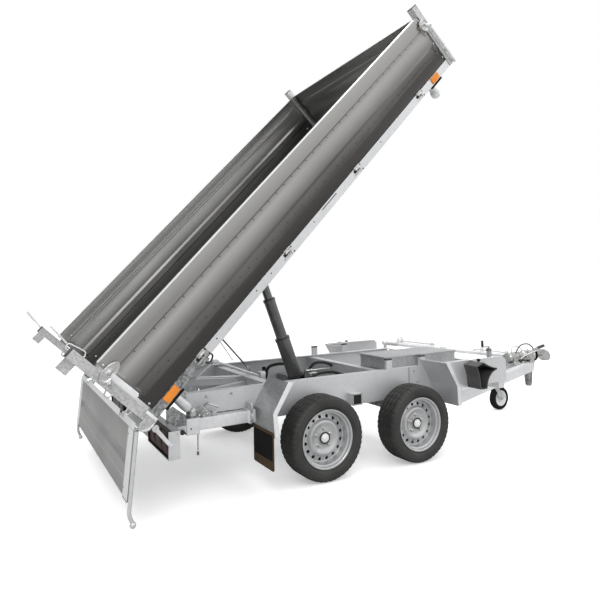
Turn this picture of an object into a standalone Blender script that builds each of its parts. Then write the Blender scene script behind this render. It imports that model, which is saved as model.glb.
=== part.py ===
"""Tandem-axle three-way tipping trailer, bed raised and tailgate hanging, parked on its jockey wheel.

World frame in metres: +X towards the coupling, +Y to the left, +Z up, ground at Z = 0 and
the origin under the middle of the whole object. The chassis stands nose-up by NOSE.
Chassis pieces are modelled in the chassis frame (origin at the wheel centre height),
bed pieces in the bed frame (origin on the rear tipping axis, X along the floor).
"""

import math

import bmesh
import bpy
from mathutils import Vector

# Sizes: wheels
TANDEM_X = -0.4322
TYRE_R = 0.2625
TYRE_W = 0.190
RIM_R = 0.701 * TYRE_R
WALL_SECTION = TYRE_R - RIM_R
AXLE_GAP = 0.762
TYRE_OUT_Y = 0.775
DISC_Y = TYRE_OUT_Y - 0.070
HUB_BACK = 0.014
JOCKEY_R = 0.115
JOCKEY_W = 0.060
SEAT = 0.0003
RUN = 0.0005

# Sizes: chassis
NOSE = math.radians(1.26)
RAIL_Y = 0.530
RAIL_TOP = 0.348
RAIL_BOT = 0.135
RAIL_X0, RAIL_X1 = -1.215, 1.135
RAIL_FLANGE = 0.045
SHEET = 0.005
GUARD_OUT_Y = 0.800
GUARD_TOP = 0.398
GUARD_FOLD = 0.226
GUARD_BOT = 0.085
GUARD_TUCK = 0.010
FLAP_TOP, FLAP_T = 0.113, 0.005
FLAP_Y0, FLAP_Y1 = 0.522, 0.796
GUARD_TOP_X = 0.680
GUARD_FOLD_X = 0.785
FRONT_TOP_X = 0.590
FRONT_FOLD_X = 0.692
PANEL_X1 = 1.215
PANEL_BOT = 0.210
ARM_X0, ARM_Y0 = 0.790, 0.700
ARM_X1, ARM_Y1 = 2.480, 0.058
ARM_W, ARM_Z0, ARM_Z1 = 0.060, 0.077, 0.161
HOUSING_AHEAD, HOUSING_FOOT_L, HOUSING_L = 0.090, 0.390, 0.370
HOUSING_X1, HOUSING_R, HOUSING_Z = ARM_X1 + HOUSING_AHEAD, 0.045, 0.215
BELLOWS_L, HEAD_L = 0.052, 0.2055
TUBE_Y0, TUBE_Y1 = 0.520, 0.600
TUBE_Z0, TUBE_Z1 = 0.124, 0.218
TUBE_X0, TUBE_X1 = -1.235, -0.800
LAMPBAR_X0, LAMPBAR_X1 = -1.372, -1.330
LAMPBAR_Z0, LAMPBAR_Z1, LAMPBAR_Y = 0.062, 0.212, 0.790
LAMP_X, LAMP_W = LAMPBAR_X0 - 0.021, 0.430
PLATE_X, PLATE_Y = LAMPBAR_X0 - 0.004, 0.300
BOX_X0, BOX_X1 = 0.310, 1.000
BOX_Y0, BOX_Y1 = -(RAIL_Y - RAIL_FLANGE - SEAT), -0.165
BOX_Z0, BOX_TOP = 0.150, 0.425
BUFFER_X, BUFFER_TOP = (0.300, 0.620), 0.413
CRADLE_X, CRADLE_Z = (-0.072, 0.005), (0.146, 0.222)
ARM_SLOPE = (ARM_Y0 - ARM_Y1) / (ARM_X1 - ARM_X0)
JOCKEY_BACK, JOCKEY_GAP, JOCKEY_TRAIL = 0.380, 0.0403, 0.125
JOCKEY_X = ARM_X1 - JOCKEY_BACK
ARM_IN_Y = ARM_Y1 + ARM_SLOPE * JOCKEY_BACK - ARM_W / 2 * math.hypot(1, ARM_SLOPE)
JOCKEY_Y = round(ARM_IN_Y - JOCKEY_GAP, 3)
LUG_HALF, LUG_GAP = 0.020, 0.0005
LUG_Y1 = round(ARM_IN_Y - LUG_HALF * ARM_SLOPE - LUG_GAP, 4)
STEM_R = 0.024
STOW_A, STOW_B, STOW_R = (1.155, 0.620, 0.388), (ARM_X1 - 0.010, 0.100, 0.193), 0.020
RING_X = 1.320
JOCKEY_AXLE_R = 0.007

# Sizes: bed
PIVOT_X, PIVOT_Z, PIVOT_Y = -1.190, 0.2497, 0.560
BALL_R = 0.024
TILT = math.radians(46.3)
FLOOR_W, FLOOR_T = 0.300, 0.0045
BEDRAIL_W0, BEDRAIL_W1 = FLOOR_W - 0.038, FLOOR_W + 0.013
LONG_H, LONG_LAP = 0.074, 0.008
LONG_Y0, LONG_Y1 = 0.370, 0.430
WALL_U0, WALL_U1 = -0.134, 2.872
WALL_W0, WALL_H = BEDRAIL_W1 + 0.0045, 0.352
WALL_OUT_Y, WALL_T = 0.915, 0.030
WALL_AXIS_Y, WALL_AXIS_W = WALL_OUT_Y + 0.010, BEDRAIL_W1 - 0.011
LATCH_R, LATCH_DROP, LATCH_OUT = 0.046, 0.068, 0.025
POST = 0.050
POST_U, FRONT_POST_U = WALL_U0 - 0.016, WALL_U1 + 0.004
FRONT_IN_U = FRONT_POST_U + 0.0125
FRONT_T = 0.020
REAR_POST_TOP, FRONT_POST_TOP = WALL_W0 + WALL_H + 0.1305, WALL_W0 + WALL_H + 0.0655
RAIL_IN_Y = WALL_OUT_Y - POST
POST_OUT_Y = WALL_OUT_Y + 0.005
POST_IN_Y = POST_OUT_Y - POST
GATE_AXIS_U, GATE_AXIS_W = POST_U - POST - 0.035, FLOOR_W
GATE_H, GATE_T = 0.345, 0.025
GROOVE = (0.150, 0.210)
GATE_HALF = WALL_OUT_Y - 0.0165
GATE_HANG = math.radians(128.1)
ROD_R, ROD_LEN, ROD_KINK = 0.009, GATE_H + 0.118, -0.012
HINGE_Y0, HINGE_Y1, HINGE_W, HINGE_R = 0.540, 0.625, 0.025, 0.011
EYE_U, EYE_W = 1.161, BEDRAIL_W0 - 0.062
FRONT_LEG_Y, FRONT_LEG_R = 0.780, 0.031

# Sizes: telescopic cylinder
TRUNNION_X, TRUNNION_Z = -0.088, 0.000
TRUNNION_Y = 0.072
EYE_PIN_R, EYE_R = 0.014, 0.034
EAR_Y0, EAR_Y1 = 0.042, 0.054
BARREL_R = 0.0625
STAGE_R = (0.0535, 0.0425, 0.031)
CLOSED_END = (0.330, 0.360, 0.390)
STROKE = 0.283

PARTS = {}


# Helpers: meshes as lists of closed solids
def solid_from(verts, faces):
    return [tuple(v) for v in verts], [tuple(f) for f in faces]


def box(x0, x1, y0, y1, z0, z1):
    verts = [(x, y, z) for x in (x0, x1) for y in (y0, y1) for z in (z0, z1)]
    return solid_from(verts, [(0, 1, 3, 2), (4, 6, 7, 5), (0, 4, 5, 1), (2, 3, 7, 6), (0, 2, 6, 4),
                              (1, 5, 7, 3)])


def prism(points, axis, a, b):
    """A closed outline pushed from a to b: outline in XZ for axis Y, YZ for X and XY for Z."""
    area = sum(p[0] * q[1] - q[0] * p[1] for p, q in zip(points, points[1:] + points[:1]))
    if area < 0:
        points = points[::-1]
    place = {
        "X": lambda p, t: (t, p[0], p[1]),
        "Y": lambda p, t: (p[0], t, p[1]),
        "Z": lambda p, t: (p[0], p[1], t),
    }[axis]
    n = len(points)
    verts = [place(p, a) for p in points] + [place(p, b) for p in points]
    faces = [tuple(range(n))[::-1], tuple(range(n, 2 * n))]
    faces += [(i, (i + 1) % n, n + (i + 1) % n, n + i) for i in range(n)]
    return solid_from(verts, faces)


def band(path, thick):
    """The outline of a sheet that follows a path, its thickness on the left of the path."""
    offset = []
    for i, p in enumerate(path):
        before = Vector(path[max(i - 1, 0)])
        after = Vector(path[min(i + 1, len(path) - 1)])
        here = Vector(p)
        d0 = (here - before).normalized() if i else (after - here).normalized()
        d1 = (after - here).normalized() if i < len(path) - 1 else d0
        n0, n1 = Vector((-d0.y, d0.x)), Vector((-d1.y, d1.x))
        m = (n0 + n1).normalized()
        offset.append(tuple(here + m * (thick / max(m.dot(n0), 0.2))))
    return [tuple(p) for p in path] + offset[::-1]


def lathe(profile, steps, axis="Y", centre=(0, 0, 0)):
    """A closed profile of (radius, along) pairs turned about an axis; radius 0 makes a pole."""
    verts, rings = [], []
    for r, t in profile:
        if r == 0:
            rings.append([len(verts)])
            verts.append((0, 0, t))
        else:
            rings.append(list(range(len(verts), len(verts) + steps)))
            verts += [(r * math.cos(k * math.tau / steps), r * math.sin(k * math.tau / steps), t)
                      for k in range(steps)]
    faces = []
    open_ends = profile[0][0] == 0
    pairs = list(zip(rings, rings[1:])) + ([] if open_ends else [(rings[-1], rings[0])])
    for a, b in pairs:
        for k in range(steps):
            j = (k + 1) % steps
            if len(a) == 1 and len(b) > 1:
                faces.append((a[0], b[k], b[j]))
            elif len(b) == 1 and len(a) > 1:
                faces.append((a[j], a[k], b[0]))
            elif len(a) > 1:
                faces.append((a[k], b[k], b[j], a[j]))
    turn = {"Z": lambda v: v, "Y": lambda v: (v[0], v[2], -v[1]), "X": lambda v: (v[2], v[0], v[1])}[axis]
    verts = [tuple(Vector(turn(v)) + Vector(centre)) for v in verts]
    return solid_from(verts, faces)


def rod(a, b, r, steps=12, r2=None):
    """A round bar from a to b."""
    a, b = Vector(a), Vector(b)
    length = (b - a).length
    turn = (b - a).to_track_quat("Z", "Y").to_matrix()
    verts, faces = lathe([(0, 0), (r, 0), (r2 or r, length), (0, length)], steps, "Z")
    return solid_from([turn @ Vector(v) + a for v in verts], faces)


def beam(a, b, width, z0, z1):
    """A rectangular bar in plan from a to b, upright sides."""
    a, b = Vector(a), Vector(b)
    side = Vector((-(b - a).y, (b - a).x)).normalized() * width / 2
    return prism([tuple(a - side), tuple(b - side), tuple(b + side), tuple(a + side)], "Z", z0, z1)


def ball(centre, r, steps=12, rings=6):
    profile = [(0, -r)] + [(r * math.sin(i * math.pi / rings), -r * math.cos(i * math.pi / rings))
                           for i in range(1, rings)]
    return lathe(profile + [(0, r)], steps, "Z", centre)


def mirror_y(solid):
    return [(x, -y, z) for x, y, z in solid[0]], [f[::-1] for f in solid[1]]


# Helpers: objects
for old in list(bpy.data.objects):
    bpy.data.objects.remove(old, do_unlink=True)
TOOLS = bpy.data.collections.new("tools")
bpy.context.scene.collection.children.link(TOOLS)
MATERIALS = {
    "galvanised": ((0.60, 0.61, 0.62), 0.85, 0.38),
    "galvanised_bright": ((0.78, 0.79, 0.80), 0.85, 0.30),
    "sheet_wall": ((0.30, 0.29, 0.28), 0.70, 0.45),
    "zinc_hardware": ((0.72, 0.73, 0.74), 0.90, 0.28),
    "rim_silver": ((0.62, 0.63, 0.64), 0.60, 0.35),
    "tyre": ((0.02, 0.02, 0.02), 0.0, 0.80),
    "rubber": ((0.025, 0.025, 0.025), 0.0, 0.70),
    "black_paint": ((0.02, 0.02, 0.022), 0.2, 0.40),
    "black_plastic": ((0.03, 0.03, 0.03), 0.0, 0.45),
    "amber_lens": ((0.85, 0.32, 0.03), 0.0, 0.15),
    "red_lens": ((0.60, 0.02, 0.02), 0.0, 0.15),
}
for name, (colour, metal, rough) in MATERIALS.items():
    material = bpy.data.materials.new(name)
    material.use_nodes = True
    shader = material.node_tree.nodes["Principled BSDF"]
    shader.inputs["Base Color"].default_value = (*colour, 1)
    shader.inputs["Metallic"].default_value = metal
    shader.inputs["Roughness"].default_value = rough


def empty(name, parent=None, location=(0, 0, 0), turn_y=0.0, turn_x=0.0):
    obj = bpy.data.objects.new(name, None)
    obj.location = location
    obj.rotation_euler = (turn_x, turn_y, 0)
    obj.parent = parent
    bpy.context.scene.collection.objects.link(obj)
    return obj


def mesh_object(name, solid, collection, parent):
    mesh = bpy.data.meshes.new(name)
    mesh.from_pydata(solid[0], [], solid[1])
    bm = bmesh.new()
    bm.from_mesh(mesh)
    bmesh.ops.recalc_face_normals(bm, faces=bm.faces)
    bm.to_mesh(mesh)
    bm.free()
    obj = bpy.data.objects.new(name, mesh)
    obj.parent = parent
    collection.objects.link(obj)
    return obj


def part(name, material, parent, solids, cuts=(), smooth=False, side=1):
    """One named sub-part: its solids joined, its cuts taken away, on the parent's frame."""
    if side < 0:
        solids, cuts = [mirror_y(s) for s in solids], [mirror_y(s) for s in cuts]
    obj = mesh_object(name, solids[0], bpy.context.scene.collection, parent)
    obj.data.materials.append(bpy.data.materials[material])
    for operation, group in (("UNION", solids[1:]), ("DIFFERENCE", cuts)):
        for i, solid in enumerate(group):
            tool = mesh_object(f"{name}.{operation.lower()}{i}", solid, TOOLS, parent)
            tool.hide_render = True
            tool.display_type = "WIRE"
            modifier = obj.modifiers.new(f"{operation.lower()}{i}", "BOOLEAN")
            modifier.operation = operation
            modifier.solver = "EXACT"
            modifier.object = tool
    if smooth:
        for polygon in obj.data.polygons:
            polygon.use_smooth = True
    PARTS[name] = obj
    return obj


# Frames
chassis = empty("chassis_frame", None, (TANDEM_X, 0, TYRE_R), -NOSE)
bed = empty("bed_frame", chassis, (PIVOT_X, 0, PIVOT_Z), -TILT)
gate = empty("gate_frame", bed, (GATE_AXIS_U, 0, GATE_AXIS_W), -GATE_HANG)

# Road wheels
TYRE_IN_Y = TYRE_OUT_Y - TYRE_W
for sx, end in ((-1, "rear"), (1, "front")):
    for sy, hand in ((-1, "right"), (1, "left")):
        hub = empty(f"wheel_{end}_{hand}_frame", None, (TANDEM_X + sx * AXLE_GAP / 2, 0, TYRE_R))
        a, b, m = TYRE_IN_Y, TYRE_OUT_Y, TYRE_OUT_Y - TYRE_W / 2
        seat = RIM_R - 0.012
        bead = RIM_R + 0.003
        bulge, shoulder = TYRE_R - 0.48 * WALL_SECTION, TYRE_R - 0.16 * WALL_SECTION
        edge = TYRE_R - 0.05 * WALL_SECTION
        tyre = lathe(
            [(seat, a + 0.034), (bead, a + 0.026), (bulge, a), (shoulder, a + 0.010), (edge, a + 0.026),
             (TYRE_R, a + 0.055), (TYRE_R, b - 0.055), (edge, b - 0.026), (shoulder, b - 0.010),
             (bulge, b),
             (bead, b - 0.026), (seat, b - 0.034)], 32)
        part(f"tyre_{end}_{hand}", "tyre", hub, [tyre], smooth=True, side=sy)
        d, low = DISC_Y, seat - SEAT
        rim = lathe(
            [(0, d - HUB_BACK), (0.407 * RIM_R, d - HUB_BACK), (0.571 * RIM_R, d - 0.004),
             (RIM_R - 0.034, d - 0.024), (RIM_R - 0.031, a + 0.032), (RIM_R - 0.016, a + 0.020),
             (RIM_R, a + 0.020), (RIM_R, a + 0.0265), (low, a + 0.0270), (low, b - 0.0270),
             (RIM_R, b - 0.0265), (RIM_R, b - 0.020), (RIM_R - 0.018, b - 0.021),
             (RIM_R - 0.026, d - 0.002),
             (RIM_R - 0.032, d - 0.012), (0.609 * RIM_R, d + 0.006), (0.435 * RIM_R, d + 0.002),
             (0.196 * RIM_R, d + 0.002), (0.174 * RIM_R, d + 0.014), (0, d + 0.014)], 32)
        part(f"rim_{end}_{hand}", "rim_silver", hub, [rim], smooth=True, side=sy)

# Axles
for sx, end in ((-1, "rear"), (1, "front")):
    cx = sx * AXLE_GAP / 2
    drop = cx * math.tan(NOSE)
    z = -drop
    tube = box(cx + 0.085, cx + 0.155, -0.520, 0.520, z + 0.005, z + 0.075)
    solids = [tube]
    for s in (-1, 1):
        solids.append(box(cx + 0.060, cx + 0.180, *sorted((s * 0.440, s * 0.525)), z + 0.070,
                          RAIL_BOT - SEAT))
        arm = prism([(cx - 0.030, z - 0.028), (cx + 0.150, z + 0.008), (cx + 0.160, z + 0.075),
                     (cx + 0.080, z + 0.078),
                     (cx - 0.030, z + 0.030)], "Y", *sorted((s * 0.515, s * 0.555)))
        solids.append(arm)
        y0, y1, face = 0.550, DISC_Y - HUB_BACK - 0.007, DISC_Y - HUB_BACK - SEAT
        solids.append(lathe([(0, s * y0), (0.105, s * y0), (0.105, s * (y1 - 0.030)), (0.080, s * y1),
                             (0.040, s * y1),
                             (0.040, s * face), (0, s * face)], 24, "Y", (cx, 0, z)))
    part(f"axle_{end}", "galvanised", chassis, solids)

# Longitudinal rails
for s, hand in ((-1, "right"), (1, "left")):
    web = prism([(RAIL_X0, TUBE_Z1 + SEAT), (TUBE_X1, TUBE_Z1 + SEAT), (TUBE_X1 + 0.040, RAIL_BOT),
                 (0.720, RAIL_BOT), (0.760, ARM_Z1 + 0.006),
                 (RAIL_X1, ARM_Z1 + 0.006), (RAIL_X1, RAIL_TOP), (RAIL_X0, RAIL_TOP)], "Y",
                RAIL_Y - SHEET, RAIL_Y)
    top = box(RAIL_X0, RAIL_X1, RAIL_Y - RAIL_FLANGE, RAIL_Y - 0.001, RAIL_TOP - SHEET, RAIL_TOP)
    low = box(-0.755, 0.718, RAIL_Y - RAIL_FLANGE, RAIL_Y - 0.001, RAIL_BOT, RAIL_BOT + SHEET)
    posts = [box(x - 0.025, x + 0.025, RAIL_Y - 0.025, RAIL_Y - 0.001, RAIL_TOP - 0.003, BUFFER_TOP)
             for x in BUFFER_X]
    stub = box(*CRADLE_X, RAIL_Y - 0.003, RAIL_Y + 0.060, *CRADLE_Z)
    bore = box(CRADLE_X[0] + 0.006, CRADLE_X[1] - 0.006, RAIL_Y + 0.010, RAIL_Y + 0.080, CRADLE_Z[0]
               + 0.006, CRADLE_Z[1] - 0.006)
    part(f"rail_{hand}", "galvanised", chassis, [web, top, low, stub, *posts], [bore], side=s)

# Crossmembers
IN_Y = RAIL_Y - SHEET - SEAT
part("crossmember_rear", "galvanised", chassis,
     [box(-1.200, -1.130, -IN_Y, IN_Y, 0.245, 0.315),
      box(-0.640, -0.580, -IN_Y, IN_Y, 0.150, 0.330),
      beam((-1.140, -0.300), (-0.600, -0.060), 0.040, 0.255, 0.300),
      beam((-1.140, 0.300), (-0.600, 0.060), 0.040, 0.255, 0.300)])
part("crossmember_front", "galvanised", chassis,
     [box(0.225, 0.285, -IN_Y, IN_Y, 0.150, 0.335)])


def on_bar(x):
    """The middle of the stowed bar at a place along the chassis."""
    a, b = Vector(STOW_A), Vector(STOW_B)
    return a.lerp(b, (x - a.x) / (b.x - a.x))


REST, SADDLE = on_bar(1.190), on_bar(ARM_X1 - 0.050)
part("crossmember_nose", "galvanised", chassis,
     [box(RAIL_X1 + SEAT, RAIL_X1 + 0.060, -GUARD_OUT_Y + SHEET + SEAT, GUARD_OUT_Y - SHEET - SEAT,
          ARM_Z1 + SEAT, 0.215),
      box(1.155, 1.180, -IN_Y, IN_Y, 0.205, 0.335),
      box(REST.x - 0.025, REST.x, REST.y - 0.005, REST.y + 0.015, 0.205, REST.z - 1.01 * STOW_R - SEAT)])

# Rear ball carriers and lamp bar
for s, hand in ((-1, "right"), (1, "left")):
    tube = box(TUBE_X0, TUBE_X1, TUBE_Y0, TUBE_Y1, TUBE_Z0, TUBE_Z1)
    hollow = box(TUBE_X0 - 0.065, TUBE_X1 + 0.100, TUBE_Y0 + 0.006, TUBE_Y1 - 0.006, TUBE_Z0 + 0.006,
                 TUBE_Z1 - 0.006)
    neck = rod((PIVOT_X, PIVOT_Y, TUBE_Z1 - 0.004), (PIVOT_X, PIVOT_Y, PIVOT_Z), 0.016)
    head = ball((PIVOT_X, PIVOT_Y, PIVOT_Z), BALL_R)
    part(f"ball_carrier_{hand}", "galvanised_bright", chassis, [tube, neck, head], [hollow], side=s)
BRACKET = [(LAMPBAR_X1 - 0.001, TUBE_Z1 - 0.065), (LAMPBAR_X1 - 0.001, TUBE_Z1 + 0.030),
           (LAMPBAR_X1 + 0.030, TUBE_Z1 + 0.030), (TUBE_X0 - RUN, TUBE_Z1 + 0.005),
           (TUBE_X0 - RUN, TUBE_Z1 - 0.075)]
part("lamp_bar", "galvanised", chassis,
     [box(LAMPBAR_X0, LAMPBAR_X1, -LAMPBAR_Y, LAMPBAR_Y, LAMPBAR_Z0, LAMPBAR_Z1),
      box(PLATE_X, LAMPBAR_X0 + 0.002, -PLATE_Y, PLATE_Y, LAMPBAR_Z0 + 0.015, LAMPBAR_Z1 - 0.015)]
     + [prism(BRACKET, "Y", *sorted((s * (TUBE_Y0 + 0.005), s * (TUBE_Y1 - 0.002)))) for s in (-1, 1)]
     + [box(LAMP_X, LAMPBAR_X1, *sorted((s * (LAMPBAR_Y - SHEET), s * LAMPBAR_Y)), LAMPBAR_Z0, LAMPBAR_Z1)
        for s in (-1, 1)])
for s, hand in ((-1, "right"), (1, "left")):
    part(f"tail_lamp_{hand}", "red_lens", chassis,
         [box(LAMP_X, LAMPBAR_X0 - SEAT, LAMPBAR_Y - SHEET - SEAT - LAMP_W, LAMPBAR_Y - SHEET - SEAT,
              LAMPBAR_Z0 + 0.003, LAMPBAR_Z1 - 0.003)], side=s)

# Mudguards, side panels, flaps and chocks
FLAP_X = -GUARD_FOLD_X + GUARD_TUCK * (GUARD_FOLD - FLAP_TOP) / (GUARD_FOLD - GUARD_BOT) - SEAT
for s, hand in ((-1, "right"), (1, "left")):
    inner = RAIL_Y + SEAT
    rear = [(-GUARD_TOP_X, GUARD_TOP), (-GUARD_FOLD_X, GUARD_FOLD),
            (-GUARD_FOLD_X + GUARD_TUCK, GUARD_BOT)]
    sheet = prism(band(rear, 0.004), "Y", inner, GUARD_OUT_Y)
    lip = prism(band(rear, 0.028), "Y", GUARD_OUT_Y - 0.004, GUARD_OUT_Y)
    part(f"rear_mudguard_{hand}", "galvanised", chassis, [sheet, lip], side=s)
    front = [(FRONT_TOP_X, GUARD_TOP), (FRONT_FOLD_X, GUARD_FOLD), (FRONT_FOLD_X + 0.006, GUARD_BOT)]
    sheet = prism(band(front, 0.004), "Y", inner, GUARD_OUT_Y - 0.002)
    panel = prism([(FRONT_TOP_X, GUARD_TOP), (1.180, GUARD_TOP), (PANEL_X1, GUARD_TOP - 0.025),
                   (PANEL_X1, PANEL_BOT),
                   (0.735, PANEL_BOT), (0.735, GUARD_BOT), (FRONT_FOLD_X + 0.006, GUARD_BOT),
                   (FRONT_FOLD_X, GUARD_FOLD)],
                  "Y", GUARD_OUT_Y - SHEET, GUARD_OUT_Y)
    hem = box(FRONT_TOP_X + 0.020, 1.178, GUARD_OUT_Y - 0.030, GUARD_OUT_Y - 0.002, GUARD_TOP - SHEET,
              GUARD_TOP)
    part(f"front_mudguard_{hand}", "galvanised_bright", chassis, [panel, hem, sheet], side=s)
    part(f"mud_flap_{hand}", "rubber", chassis,
         [box(FLAP_X - FLAP_T, FLAP_X, FLAP_Y0, FLAP_Y1, -0.108, FLAP_TOP)], side=s)
    chock = prism([(0.762, 0.372), (0.778, 0.335), (0.795, 0.285), (0.797, 0.212), (0.868, 0.208),
                   (0.890, 0.278), (0.925, 0.315), (0.975, 0.333), (0.975, 0.345), (0.905, 0.362),
                   (0.835, 0.396)], "Y", GUARD_OUT_Y + SEAT, GUARD_OUT_Y + 0.120)
    part(f"wheel_chock_{hand}", "black_plastic", chassis, [chock], side=s)

# Drawbar
for s, hand in ((-1, "right"), (1, "left")):
    part(f"drawbar_arm_{hand}", "galvanised_bright", chassis,
         [beam((ARM_X0, ARM_Y0), (ARM_X1, ARM_Y1), ARM_W, ARM_Z0, ARM_Z1)], side=s)
part("overrun_housing", "zinc_hardware", chassis,
     [box(HOUSING_X1 - HOUSING_FOOT_L, ARM_X1, -0.110, 0.110, ARM_Z1 + SEAT, ARM_Z1 + 0.010),
      rod((HOUSING_X1 - HOUSING_L, 0, HOUSING_Z), (HOUSING_X1, 0, HOUSING_Z), HOUSING_R, 20),
      box(SADDLE.x - 0.020, SADDLE.x, SADDLE.y - 0.014, SADDLE.y + 0.009, ARM_Z1 + 0.008,
          SADDLE.z - 1.01 * STOW_R - SEAT),
      box(HOUSING_X1 - 0.330, HOUSING_X1 - 0.270, -0.050, 0.050, ARM_Z1 + 0.008, HOUSING_Z + 0.035),
      box(ARM_X1 + 0.002, ARM_X1 + 0.060, -0.055, 0.055, ARM_Z1 - 0.060, HOUSING_Z + 0.047),
      rod((ARM_X1 + 0.032, 0, -0.085), (ARM_X1 + 0.032, 0, ARM_Z1 - 0.050), 0.027, 16)])
part("stowed_bar", "galvanised_bright", chassis,
     [rod(STOW_A, STOW_B, STOW_R, 16),
      lathe([(0.028 + 0.006 * math.cos(k * math.tau / 8), 0.006 * math.sin(k * math.tau / 8))
             for k in range(8)], 16,
            "Y", tuple(on_bar(RING_X) + Vector((0, 0, STOW_R + 0.024))))])
part("overrun_bellows", "rubber", chassis,
     [lathe([(0, HOUSING_X1 + SEAT)]
            + [(r, HOUSING_X1 + t * BELLOWS_L) for r, t in
               ((0.040, SEAT / BELLOWS_L), (0.048, 0.19), (0.038, 0.35), (0.048, 0.52), (0.038, 0.69),
                (0.046, 0.85),
                (0.030, 1.0), (0, 1.0))], 20, "X", (0, 0, HOUSING_Z))], smooth=True)
HEAD_X0 = HOUSING_X1 + BELLOWS_L + RUN
HEAD_X1 = HEAD_X0 + HEAD_L
CUP_X = HEAD_X1 - 0.048
part("coupling_head", "zinc_hardware", chassis,
     [prism([(HEAD_X0, HOUSING_Z - 0.025), (CUP_X - 0.080, HOUSING_Z - 0.035),
             (CUP_X - 0.020, HOUSING_Z - 0.065),
             (CUP_X + 0.040, HOUSING_Z - 0.057), (HEAD_X1, HOUSING_Z - 0.020),
             (CUP_X + 0.020, HOUSING_Z + 0.020),
             (CUP_X - 0.040, HOUSING_Z + 0.047), (HEAD_X0, HOUSING_Z + 0.037)], "Y", -0.035, 0.035),
      rod((CUP_X, 0, HOUSING_Z - 0.065), (CUP_X, 0, HOUSING_Z + 0.020), 0.043, 20)],
     [rod((CUP_X, 0, HOUSING_Z - 0.095), (CUP_X, 0, HOUSING_Z - 0.037), 0.027, 16)])
LEVER_X = ARM_X1 - 0.055
part("handbrake_lever", "zinc_hardware", chassis,
     [prism([(LEVER_X, 0.200), (LEVER_X + 0.025, 0.188), (LEVER_X + 0.135, 0.272), (LEVER_X + 0.180, 0.286),
             (LEVER_X + 0.180, 0.300), (LEVER_X + 0.125, 0.296), (LEVER_X + 0.004, 0.226)],
            "Y", -0.072, -0.0555),
      rod((LEVER_X + 0.165, -0.064, 0.2925), (LEVER_X + 0.255, -0.064, 0.307), 0.012, 12)])

# Jockey wheel
part("jockey_stem", "zinc_hardware", chassis,
     [rod((JOCKEY_X, JOCKEY_Y, 0.000), (JOCKEY_X, JOCKEY_Y, 0.300), STEM_R, 20),
      box(JOCKEY_X - LUG_HALF, JOCKEY_X + LUG_HALF, JOCKEY_Y - 0.010, LUG_Y1, ARM_Z0 + 0.010,
          ARM_Z1 - 0.010),
      rod((JOCKEY_X, JOCKEY_Y, 0.295), (JOCKEY_X, JOCKEY_Y, 0.325), 0.008),
      box(JOCKEY_X - 0.100, JOCKEY_X + 0.008, JOCKEY_Y - 0.006, JOCKEY_Y + 0.006, 0.318, 0.328)])
STEM_FOOT = TYRE_R + (JOCKEY_X - STEM_R) * math.sin(NOSE) - SEAT
jockey = empty("jockey_swivel_frame", None, (TANDEM_X + JOCKEY_X * math.cos(NOSE), JOCKEY_Y, 0))
JOCKEY_Z = JOCKEY_R
cheeks = [prism([(-0.030, STEM_FOOT - 0.006), (0.035, STEM_FOOT - 0.006),
                 (JOCKEY_TRAIL + 0.016, JOCKEY_Z + 0.012), (JOCKEY_TRAIL + 0.016, JOCKEY_Z - 0.014),
                 (JOCKEY_TRAIL - 0.014, JOCKEY_Z - 0.014)],
                "Y", *sorted((s * (JOCKEY_W / 2 + 0.006), s * (JOCKEY_W / 2 + 0.010)))) for s in (-1, 1)]
part("jockey_fork", "zinc_hardware", jockey,
     [box(-0.032, 0.037, -JOCKEY_W / 2 - 0.010, JOCKEY_W / 2 + 0.010, STEM_FOOT - 0.012, STEM_FOOT),
      *cheeks,
      rod((JOCKEY_TRAIL, -JOCKEY_W / 2 - 0.014, JOCKEY_Z), (JOCKEY_TRAIL, JOCKEY_W / 2 + 0.014, JOCKEY_Z),
          JOCKEY_AXLE_R)])
jockey_axle = empty("jockey_wheel_frame", jockey, (JOCKEY_TRAIL, 0, JOCKEY_Z))
h = JOCKEY_W / 2
part("jockey_wheel", "rubber", jockey_axle,
     [lathe([(JOCKEY_AXLE_R + RUN, -0.026), (0.022, -0.026), (0.024, -0.012), (0.060, -0.012),
             (0.066, -0.024), (0.078, -h), (0.100, -h),
             (JOCKEY_R - 0.003, -0.018), (JOCKEY_R, 0), (JOCKEY_R - 0.003, 0.018), (0.100, h),
             (0.078, h), (0.066, 0.024),
             (0.060, 0.012), (0.024, 0.012), (0.022, 0.026), (JOCKEY_AXLE_R + RUN, 0.026)], 24)],
          smooth=True)

# Pump box, buffers and cylinder cradle
part("pump_box", "galvanised", chassis,
     [box(BOX_X0, BOX_X1, BOX_Y0, BOX_Y1, BOX_Z0, BOX_TOP - 0.004),
      box(BOX_X0 - 0.010, BOX_X1 + 0.008, BOX_Y0 - 0.004, BOX_Y1 + 0.008, BOX_TOP - 0.006, BOX_TOP)])
SIDE = [(-0.160, -0.040), (0.080, -0.040), (0.080, 0.222), (-0.095, 0.222), (-0.110, 0.290), (-0.125, 0.318),
        (-0.160, 0.335)]
cheeks = [prism(SIDE, "Y", *sorted((s * 0.088, s * 0.100))) for s in (-1, 1)]
pins = [rod((TRUNNION_X, s * TRUNNION_Y, TRUNNION_Z), (TRUNNION_X, s * 0.092, TRUNNION_Z), 0.016, 16)
        for s in (-1, 1)]
cradle = [box(0.055, 0.070, -0.094, 0.094, 0.060, 0.222)] + cheeks + [
    box(*CRADLE_X, *sorted((s * 0.094, s * (RAIL_Y - SHEET - SEAT))), *CRADLE_Z) for s in (-1, 1)] + pins
part("cylinder_cradle", "galvanised", chassis, cradle)

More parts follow.
